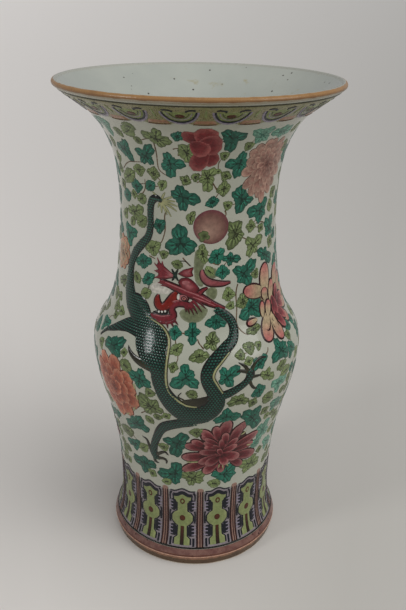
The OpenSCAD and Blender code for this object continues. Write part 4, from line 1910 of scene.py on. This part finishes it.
@dataclass
class Dragon:
    """The dragon that winds up the front: scaled body, four limbs with claws, tail and crimson head."""

    skin: Skin
    ground: Ground
    # Steps between scales, in degrees and millimetres, and a scale's half size in millimetres
    scale_steps: Pair = (1.62, 2.1)
    scale_half: Pair = (1.12, 0.9)
    # How far a scale's middle stays inside the trunk's edge
    scale_inset: float = 0.9
    # Thickness at the edge and what the middle adds, of the limbs and of the body
    limb_rise: Pair = (0.22, 0.5)
    body_rise: Pair = (0.3, 0.75)

    # The body from the tail's end to the nape, as angle, height and width
    SPINE = (
        (-24.5, 352, 3), (-29, 354, 6.5), (-33, 350, 7), (-34.2, 340, 6.5), (-34.2, 330, 6.5),
        (-36.5, 320, 7.5), (-42, 312.5, 8), (-47.5, 305, 8.5), (-51.2, 297, 8.5), (-52.6, 288, 9),
        (-52.6, 279, 11), (-51.5, 270, 14), (-48, 261.5, 16), (-42, 254.5, 17), (-35.5, 249, 20),
        (-30.5, 243.5, 25), (-26.6, 236.5, 30), (-24.4, 229, 27), (-21.6, 222, 20), (-19.5, 214, 14.5),
        (-18.8, 206, 14), (-17.2, 198, 14.5), (-14.6, 190, 16.5), (-10.4, 181.5, 19), (-5, 175, 20),
        (2, 173.5, 20.5), (8, 179, 19), (10.5, 188, 16), (9, 198, 13), (6.5, 206, 12), (5.3, 213, 11),
        (6.5, 220, 11), (10.5, 227, 11), (16, 233.5, 10.5), (21, 239, 9.5), (22.8, 246, 8.5),
        (21.5, 254, 8), (17, 260, 7.5), (12, 264, 6),
    )
    BELLY_LINES = (
        ((-47, 260, 0.9), (-40, 256.6, 1.1), (-34, 254, 1.2), (-27, 251.4, 1.3), (-21.5, 248.4, 1.5),
         (-17.3, 243, 1.7), (-15.4, 236, 1.8), (-15.3, 222, 1.7), (-15.2, 208, 1.8), (-14, 197, 2.2),
         (-10, 190, 2.2), (-5, 184.5, 1.8), (1, 183, 1.2)),
        ((14, 195, 1.0), (10.5, 205, 1.6), (8.6, 212, 1.8), (9.6, 218, 1.8), (12.6, 223.4, 1.6),
         (18.4, 231.4, 1.0)),
    )
    # Limbs from the body outwards; each is scaled like the body
    LIMBS = (
        ((-33, 243, 18), (-43.3, 242.8, 14.5), (-50.5, 239.4, 10.5), (-57, 234.6, 7), (-62.7, 229.8, 4),
         (-67.2, 222.5, 2.4)),
        ((-2, 166, 12), (-10, 162.5, 11), (-17, 157.5, 11), (-21, 151, 9), (-24, 142, 8), (-27, 131, 7.5),
         (-28.5, 121, 8.5), (-27, 114, 7)),
        ((11, 193, 9), (16, 194.5, 9), (21, 198, 8), (26, 203, 7.5), (28.5, 208.5, 9), (28.5, 214, 8)),
        ((-47, 266.5, 5), (-43, 266, 8.5), (-38.5, 263.5, 10), (-34.5, 260, 8), (-31, 256, 3.5)),
    )
    CLAWS = (
        ((-22, 216.5, 9), (-29.2, 218.6, 7.4), (-33.8, 221, 5.4), (-37.5, 224.4, 3.6),
         (-39.8, 228.4, 0.8)),
        ((-7, 189, 2), (-3.5, 187.6, 7.6), (0.5, 187.4, 9.6), (4, 190, 7.6), (7.4, 194.6, 1.2)),
        ((-6, 190, 1.6), (-9, 193, 1.4), (-7.3, 197.5, 0.6)),
        ((-28.5, 119, 4.2), (-30, 120, 3.8), (-31.5, 128, 3.4), (-32.5, 134, 2.8), (-36, 136, 0.8)),
        ((-27, 118, 4.2), (-23, 122.5, 3.4), (-20, 124.5, 2.8), (-17.5, 121, 0.8)),
        ((-27, 115, 4.2), (-21.5, 116, 3.4), (-19.5, 114, 2.6), (-19.8, 110, 0.8)),
        ((-28.5, 115, 3.8), (-28, 110, 3), (-25, 109, 0.8)),
        ((28, 213, 4.2), (27, 214, 3.8), (25.5, 218, 3.2), (22, 222, 0.8)),
        ((29, 213, 4.2), (32, 219, 3.4), (36, 221.5, 2.8), (40, 220, 0.8)),
        ((29, 207, 3.8), (33, 206.5, 2.6), (36, 206, 0.8)),
        ((28, 205, 3.8), (29.5, 199, 3), (31.5, 195, 2.4), (34, 194, 0.8)),
        ((28, 212, 3.8), (22.5, 215, 2.8), (20, 213.5, 0.8)),
    )
    # Rings of a scale, from its heart to its edge
    SCALE_RINGS = np.array([0.7, 1.0])
    TAIL_ROOT = (-25.5, 351.5)
    TAIL_SPIKES = (
        (-15, 353), (-14, 345), (-18, 340), (-25, 342), (-16, 357), (-28, 346), (-21, 341), (-22, 360),
        (-32, 359), (-13.5, 349),
    )

    def build(self) -> None:
        """Paints the body, the limbs and the head."""
        body, scales, head = (EnamelSheet(self.skin) for _ in range(3))
        self._tail(body)
        for claw in self.CLAWS:
            body.stroke(claw, Tones.of(Paint.OLIVE_DEEP, Paint.INK), 0.24, 0.3)
        trunks = [*((limb, *self.limb_rise) for limb in self.LIMBS), (self.SPINE, *self.body_rise)]
        for path, lift, crown in trunks:
            body.stroke(path, Tones.of(Paint.SCALE_DEEP, edge=Paint.INK), lift, crown, 1.2)
        self._scales(scales, trunks)
        for line in self.BELLY_LINES:
            rim = [(a, z, w + 1.6) for a, z, w in line]
            body.stroke(rim, Tones.of(Paint.OLIVE_DEEP), 0.5, 0.1)
            body.stroke(line, Tones.of(Paint.YELLOW), 0.66, 0.1)
        DragonHead(head).paint()
        self.ground.cover(body, head)
        for angle, height, width in [*self.SPINE, *(touch for limb in self.LIMBS for touch in limb)]:
            self.ground.claim((angle, height), width / 2)
        finish = Enamel("dragon_enamel", mottle=0.2, gloss=(0.1, 0.2), shine=0.45).make()
        settle(body.build("dragon_body", finish), "green_enamel")
        settle(scales.build("dragon_scales", finish), "green_enamel")
        settle(head.build("dragon_head", Enamel("dragon_head_enamel").make()), "rose_enamel")

    def _scales(self, sheet: EnamelSheet, trunks: Sequence[tuple[Path, float, float]]) -> None:
        """Sets scales in staggered rows wherever a trunk is.

        Args:
            sheet: Where they are painted.
            trunks: The body's strokes, each with its thickness at the edge and what its middle adds.
        """
        lines = [(spline(path, 0.8), lift, crown) for path, lift, crown in trunks]
        every = np.vstack([line for line, _, _ in lines])
        step, rise = self.scale_steps
        rows = np.arange(every[:, 1].min(), every[:, 1].max(), rise)
        rim = ring(8) * self.scale_half
        for index, height in enumerate(rows):
            unit, steep = float(self.skin.degree(height)), float(self.skin.steepness(height))
            for angle in np.arange(every[:, 0].min(), every[:, 0].max(), step) + step / 2 * (index % 2):
                top, out = 0.0, 1.0
                for line, lift, crown in lines:
                    away = np.hypot((line[:, 0] - angle) * unit, (line[:, 1] - height) / steep)
                    share = (away / (line[:, 2] / 2)).min()
                    inside = (away - line[:, 2] / 2).min() < -self.scale_inset
                    level = lift + crown * (1 - share**2)
                    if inside and level > top:
                        top, out = level, share
                if top:
                    # Scales turn lighter towards each trunk's middle and darker towards its edges: painted
                    # shading of the body's roundness
                    tones = Tones.of(Paint.SCALE, edge=Paint.SCALE_DEEP).shifted(0.3 - 0.5 * out)
                    sheet.patch((angle, height), rim, tones, top + 0.03, 0.04, self.SCALE_RINGS, top - 0.03)

    def _tail(self, sheet: EnamelSheet) -> None:
        """Paints the fan of pale spikes at the tail's end.

        Args:
            sheet: Where it is painted.
        """
        for tip in self.TAIL_SPIKES:
            middle = np.add(self.TAIL_ROOT, tip) / 2 + (0, 0.8)
            path = [(*self.TAIL_ROOT, 1.8), (*middle, 1.6), (*tip, 0.3)]
            sheet.stroke([(a, z, w + 0.7) for a, z, w in path], Tones.of(Paint.OLIVE), 0.1, 0.04)
            sheet.stroke(path, Tones.of(Paint.YELLOW, edge=Paint.OLIVE), 0.2, 0.1)


@dataclass
class DragonHead:
    """The dragon's head: crest, brow, horn, eye, nose and open mouth, with olive clouds behind it."""

    sheet: EnamelSheet
    # How much wider the dark edge of a stroke is than the stroke
    edge: float = 1.9

    # Crimson in its dark edge, and the same where it starts pale
    CRIMSON = Tones.of(Paint.CRIMSON, edge=Paint.CRIMSON_DEEP)
    FADED = Tones.of(Paint.CRIMSON_PALE, Paint.CRIMSON, Paint.CRIMSON_DEEP)
    # Grey-green washes behind the head
    CLOUDS = (
        ((-11.5, 260.5), (-9.8, 256.5), (-5.8, 253.5), (-1.8, 253), (2.8, 255), (6.2, 260), (7, 265),
         (2, 268), (-4.5, 266), (-10, 263.5)),
        ((-1.8, 313), (1.5, 316), (5.2, 315), (5.8, 309), (5, 302.5), (3.7, 297.5), (5, 290), (3.5, 283),
         (1, 283.5), (-1.5, 288), (-2.5, 297.5), (-2.5, 305.5)),
        ((7.3, 295), (10, 298.5), (13, 297.5), (13, 291.5), (10, 289.5), (7.5, 290.5)),
        ((6, 281.5), (10, 283), (13, 281), (13.2, 276), (11.2, 272), (8.5, 273), (5.5, 277.5)),
    )
    # A white cloud before the brow
    WHITE_CLOUD = (
        (-32.5, 279), (-29.2, 283), (-25, 284), (-22.8, 281.4), (-17.2, 280.5), (-16.2, 277.6),
        (-19.8, 275), (-24.2, 274.6), (-28.8, 274), (-32.2, 275),
    )
    CREST = (
        (-27.4, 301.4), (-24.2, 299.6), (-21.8, 297.5), (-19.5, 295.5), (-16.2, 292.5), (-16, 289.5),
        (-19.2, 288), (-23.8, 286.5), (-28.4, 287.2), (-27.2, 290.5), (-28.4, 293.5), (-27.2, 296),
        (-28.6, 298.4),
    )
    # Points that stick out of the crest, each from its root to its end
    POINTS = (
        ((-25, 296), (-28.4, 304.6)), ((-25, 294), (-30.8, 299.6)), ((-25, 292), (-30.6, 293.2)),
        ((-24, 289), (-30.4, 287)), ((-24, 297), (-24.6, 302.4)), ((-16, 282.4), (-25.4, 281.6)),
        ((-17, 282.6), (-27.4, 283.6)),
    )
    CREST_ROOT = (-16.5, 291.3)
    CREST_TIPS = ((-28, 299), (-28.5, 294), (-28, 288), (-23, 297), (-22.5, 288.4))
    FLAME = (
        (-13.5, 293), (-10, 296.8), (-5.5, 298.6), (-2.5, 299.6), (-3.4, 295.5), (-2.8, 292), (-8, 290.6),
    )
    TIE_ROOT = (-15, 291.5)
    TIE_TIPS = ((-13, 297.5), (-17.5, 297), (-17, 286.8), (-12.5, 287.2))
    FOREHEAD = (
        (-13, 286), (-11.5, 289.5), (-8.2, 290.6), (-4.8, 290), (-0.8, 286), (1.8, 280.5), (-1.5, 277),
        (-6.2, 278), (-10.5, 281.4),
    )
    # The eye's ovals, each over the one before it: middle, half size, paint and thickness
    EYE = (
        ((-9.2, 273.2), (4.4, 4.0), Paint.CRIMSON_DEEP, 0.5),
        ((-9.3, 273.4), (3.5, 3.0), Paint.CRIMSON_PALE, 0.56),
        ((-8.5, 273), (2.2, 2.3), Paint.INK, 0.64),
        ((-8.5, 273), (1.4, 1.4), Paint.ROSE, 0.72),
        ((-8.5, 273), (0.6, 0.7), Paint.INK, 0.8),
        ((-12.2, 274), (1.0, 2.6), Paint.WHITE, 0.66),
    )
    STRAP = (
        (-26, 285.6, 2.4), (-21, 284, 4.4), (-15.8, 282, 5.2), (-9.8, 279.4, 5.8), (-3, 276.6, 7),
        (3.5, 273, 6.8), (10, 268.6, 4.8), (18.4, 264.2, 1.2),
    )
    BRANCH = ((1, 277, 3.6), (3.5, 280.2, 2.6), (7, 282.6, 0.6))
    # Light strokes along the strap, the jaw and the nose
    SHINE = (
        ((-23, 285.6, 0.8), (-15, 282.8, 1.4), (-6, 279.4, 1.2)),
        ((-10, 280.4, 0.8), (0, 276.4, 1.6), (10, 269.6, 0.8)),
        ((-4, 275.4, 0.8), (4, 271.6, 1.3), (13, 266.4, 0.6)),
        ((-28, 256.4, 0.8), (-22, 256.4, 1.4), (-17, 258.4, 0.8)),
        ((-18.6, 263.6, 0.8), (-17.6, 268, 1.4), (-14.6, 270.4, 1.4), (-10.5, 271, 0.8)),
    )
    HORN = (
        (3, 298, 1.2), (3.4, 293.5, 4.4), (5, 289.5, 5.6), (8.5, 286.6, 6), (13.5, 285.4, 4.8),
        (17.8, 285, 3.6), (22.8, 285.6, 0.8),
    )
    NOSE = (
        (-26, 274, 1), (-26.6, 270, 4.6), (-26, 265.8, 6.8), (-23.4, 263.6, 6.8), (-20, 265.4, 7),
        (-17.4, 269.6, 7.4), (-15, 274.6, 6.4), (-13.8, 278.4, 2.4),
    )
    MOUTH = (
        (-30.6, 256, 1.8), (-27, 254.8, 5.4), (-22.8, 254.4, 6), (-18, 255.4, 6.2), (-15, 258.4, 5.8),
        (-16.2, 262.4, 5), (-15.6, 266, 5), (-12.8, 268.4, 5.2), (-9.2, 268.8, 5.2), (-5.2, 267.4, 4.2),
        (-2, 265.8, 1.6),
    )
    THROAT = ((-29, 258.4, 1.2), (-24, 259.0, 4.0), (-18.4, 260.0, 3.6))
    JAW = (
        (-28.5, 252.4, 1.4), (-24.2, 251.4, 2.6), (-19.2, 251.6, 2.8), (-14.5, 253.6, 2.8), (-13, 257, 1),
    )
    # Spikes of the cheek and the chin, from root to end, and how much further they reach
    SPIKE_REACH = 1.4
    SPIKES = (
        ((-7.8, 268.5), (-7, 263.4)), ((-7, 269), (-5.2, 262.6)), ((-6.2, 270), (-3, 262.4)),
        ((-4.5, 270.5), (-0.8, 263)), ((-3, 272), (1.6, 264.6)), ((-1.2, 273), (3.8, 267)),
        ((0.5, 272.5), (5.8, 269)), ((-23, 253), (-22.4, 249.2)), ((-19.5, 253), (-18, 248.8)),
        ((-17, 254), (-14.8, 250)), ((-15.5, 255), (-12.4, 252)),
    )
    TEETH = ((-24.6, 259.6), (-22.5, 260.0), (-20.4, 260.8))
    WHISKERS = (
        ((-27, 289, 0.9), (-31, 286, 1.0), (-33.5, 282, 1.0), (-34.4, 276, 0.5)),
        ((-13, 304, 0.6), (-8, 304, 0.8), (-4, 300, 0.5)),
    )

    def paint(self) -> None:
        """Paints the head."""
        sheet = self.sheet
        for cloud in self.CLOUDS:
            sheet.blob(cloud, Tones.of(Paint.OLIVE, edge=Paint.OLIVE_PALE), 0.08, 0.1)
        sheet.blob(self.WHITE_CLOUD, Tones.of(Paint.CLOUD), 0.08, 0.1)
        for path in self.WHISKERS:
            sheet.stroke(path, Tones.of(Paint.INK), 0.16, 0.08)
        for tip in self.TIE_TIPS:
            path = [(*self.TIE_ROOT, 3.2), (*tip, 1.2)]
            sheet.stroke(path, Tones.of(Paint.TEAL_DEEP, Paint.INK), 0.3, 0.1, 1.0)
        sheet.blob(self.CREST, self.CRIMSON, 0.36, 0.16)
        sheet.blob(self.FLAME, self.FADED, 0.36, 0.16)
        for start, end in self.POINTS:
            sheet.stroke([(*start, 3.4), (*end, 0.5)], self.CRIMSON, 0.3, 0.12, 1.0)
        for tip in self.CREST_TIPS:
            path = [(*self.CREST_ROOT, 1.8), (*tip, 0.8)]
            sheet.line(path, Tones.of(Paint.CRIMSON_PALE, Paint.CRIMSON), 0.5, 0.4)
        sheet.blob(self.FOREHEAD, self.FADED, 0.34, 0.5)
        shine = Tones.of(Paint.CRIMSON_PALE, edge=Paint.CRIMSON)
        sheet.oval((-7.4, 286.2), (3.2, 2.4), shine, 0.72, 0.1)
        self._edged(self.BRANCH, Tones.of(Paint.CRIMSON), 0.3)
        self._edged(self.STRAP, self.CRIMSON, 0.34)
        self._edged(self.HORN, self.FADED, 0.34)
        for middle, half, paint, lift in self.EYE:
            sheet.oval(middle, half, Tones.of(paint), lift, 0.04)
        sheet.stroke(self.THROAT, Tones.of(Paint.INK), 0.3, 0.3)
        self._edged(self.MOUTH, self.CRIMSON, 0.3)
        sheet.stroke(self.JAW, self.CRIMSON, 0.36, 0.14)
        self._edged(self.NOSE, Tones.of(Paint.ORANGE_RED), 0.4)
        for path in self.SHINE:
            sheet.stroke(path, shine, 0.62, 0.06)
        for tooth in self.TEETH:
            sheet.oval(tooth, (0.7, 1.1), Tones.of(Paint.WHITE), 0.7, 0.1)
        for start, end in self.SPIKES:
            reach = self.SPIKE_REACH * np.subtract(end, start)
            path = [(*start, 3.0), (*(start + reach / 2 + (0, 0.6)), 2.2), (*(start + reach), 0.4)]
            sheet.stroke(path, Tones.of(Paint.CRIMSON, Paint.CRIMSON_DEEP), 0.5, 0.1)

    def _edged(self, path: Path, tones: Tones, lift: float) -> None:
        """Paints a stroke over its own dark edge.

        Args:
            path: Its touches.
            tones: Its colours.
            lift: Thickness of the dark edge.
        """
        rim = [(a, z, w + self.edge) for a, z, w in path]
        self.sheet.stroke(rim, Tones.of(Paint.CRIMSON_DEEP), lift, 0.02)
        self.sheet.stroke(path, tones, lift + 0.1, 0.22)


@dataclass(frozen=True)
class StudioPaper:
    """Pale grey paper, lighter far away and to the left, as the light falls across the studio."""

    name: str
    near_left: Colour = srgb(212, 208, 203)
    near_right: Colour = srgb(187, 184, 178)
    far_left: Colour = srgb(247, 243, 239)
    far_right: Colour = srgb(207, 205, 201)
    # The light fans out from this far in front of the vase's axis, and this much to each side per metre
    edge: float = 0.63
    spread: float = 0.27
    # Distance behind the axis where half of the far colour is gained, and the range that it is measured in
    fall: float = 2.0
    nearest: float = 0.3
    farthest: float = 60.0

    def make(self) -> Material:
        """Puts the finish together.

        Returns:
            The material.
        """
        recipe = Recipe(self.name, Roughness=0.9, Specular_IOR_Level=0.1)
        back = recipe.axis("Y")
        start, end = self.nearest - self.edge, self.farthest
        depth = recipe.span(back, start, end, self.nearest, end + self.edge)
        across = recipe.span(recipe.math("DIVIDE", recipe.axis("X"), depth), -self.spread, self.spread)
        near = recipe.mix(across, self.near_left, self.near_right)
        far = recipe.mix(across, self.far_left, self.far_right)
        behind = recipe.span(back, 0, end, 0, end)
        share = recipe.math("DIVIDE", behind, recipe.math("ADD", behind, self.fall))
        recipe.feed("Base Color", recipe.mix(share, near, far))
        return recipe.material


@dataclass(frozen=True)
class SoftBox:
    """A large soft lamp that looks at the middle of the vase."""

    name: str
    # Its direction from the vase in degrees, and its distance and size in metres
    turn: float
    rise: float
    far: float
    width: float
    height: float
    watts: float

    def build(self, target: Vector) -> None:
        """Builds the lamp.

        Args:
            target: What it looks at.
        """
        turn, rise = math.radians(self.turn), math.radians(self.rise)
        away = Vector((math.sin(turn) * math.cos(rise), -math.cos(turn) * math.cos(rise), math.sin(rise)))
        lamp = bpy.data.lights.new(self.name, "AREA")
        lamp.shape = "ELLIPSE"
        lamp.size, lamp.size_y = self.width, self.height
        lamp.energy = self.watts
        holder = stand(self.name, lamp)
        holder.location = target + away * self.far
        holder.rotation_euler = (-away).to_track_quat("-Z", "Y").to_euler()


@dataclass
class Studio:
    """The floor, the lamps and the camera."""

    # The wide overhead light: its direction and its spread in degrees, and its level
    sun_turn: float = 50.0
    sun_rise: float = 58.0
    sun_softness: float = 70.0
    sun_level: float = 1.4
    room_colour: Colour = srgb(236, 236, 238)
    room_level: float = 0.385
    floor_half: float = 40.0
    # The camera's place in metres and its direction in degrees
    eye: tuple[float, float, float] = (0.0, -0.6323, 0.512)
    pitch: float = 23.575
    yaw: float = 0.503
    roll: float = 0.887
    # Focal length in pixels of an image that is 406 wide and 610 tall
    focal: float = 743.3
    image_long_side: float = 610.0
    sensor: float = 36.0
    clip: Pair = (0.02, 200)
    target: Vector = field(default_factory=lambda: Vector((0, 0, 0.22)))
    lamps: tuple[SoftBox, ...] = (
        SoftBox("left_softbox", -58, 29, 1.5, 0.32, 0.48, 4.2),
        SoftBox("right_softbox", 60, 30, 1.5, 0.9, 1.0, 4.8),
    )

    def build(self) -> None:
        """Builds the stage."""
        bpy.context.scene.view_settings.view_transform = "Standard"
        self._floor()
        self._room()
        for lamp in self.lamps:
            lamp.build(self.target)
        self._overhead()
        self._camera()

    def _overhead(self) -> None:
        """Hangs the wide overhead light, which reaches the whole floor."""
        lamp = bpy.data.lights.new("overhead_light", "SUN")
        lamp.angle = math.radians(self.sun_softness)
        lamp.energy = self.sun_level
        holder = stand("overhead_light", lamp)
        holder.rotation_euler = (math.radians(90 - self.sun_rise), 0, math.radians(self.sun_turn))
        holder.visible_glossy = False

    def _floor(self) -> None:
        """Lays the floor paper."""
        corners = self.floor_half * np.array([(-1, -1, 0), (1, -1, 0), (1, 1, 0), (-1, 1, 0)])
        mesh_piece("floor_paper", corners, [(0, 1, 2, 3)], StudioPaper("studio_paper").make())

    def _room(self) -> None:
        """Fills the room with even grey light."""
        world = bpy.data.worlds.new("room_light")
        world.use_nodes = True
        backdrop = world.node_tree.nodes["Background"]
        backdrop.inputs["Color"].default_value = (*self.room_colour, 1)
        backdrop.inputs["Strength"].default_value = self.room_level
        bpy.context.scene.world = world

    def _camera(self) -> None:
        """Sets the camera where the photograph was taken from."""
        pitch, yaw, roll = (math.radians(a) for a in (self.pitch, self.yaw, self.roll))
        ahead = Vector((math.sin(yaw) * math.cos(pitch), math.cos(yaw) * math.cos(pitch), -math.sin(pitch)))
        level = Vector((math.cos(yaw), -math.sin(yaw), 0))
        above = level.cross(ahead)
        right = level * math.cos(roll) + above * math.sin(roll)
        up = above * math.cos(roll) - level * math.sin(roll)
        lens = bpy.data.cameras.new("camera")
        lens.sensor_width = self.sensor
        lens.lens = self.focal / self.image_long_side * self.sensor
        lens.clip_start, lens.clip_end = self.clip
        camera = stand("camera", lens)
        turned = Matrix((right, up, -ahead)).transposed().to_4x4()
        camera.matrix_world = Matrix.Translation(self.eye) @ turned
        bpy.context.scene.camera = camera


def main() -> None:
    """Builds the vase piece by piece, then the studio round it."""
    logging.basicConfig(level=logging.INFO, format="%(name)s: %(message)s")
    skin = Skin(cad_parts["outer_glaze"])
    ground = Ground(skin)
    Porcelain().build()
    for part in (RimBorder(skin), LappetBand(skin), FootBand(skin)):
        part.build()
    Dragon(skin, ground).build()
    Flowers(skin, ground).build()
    Leafage(skin, ground).build()
    Studio().build()


if __name__ == "__main__":
    main()
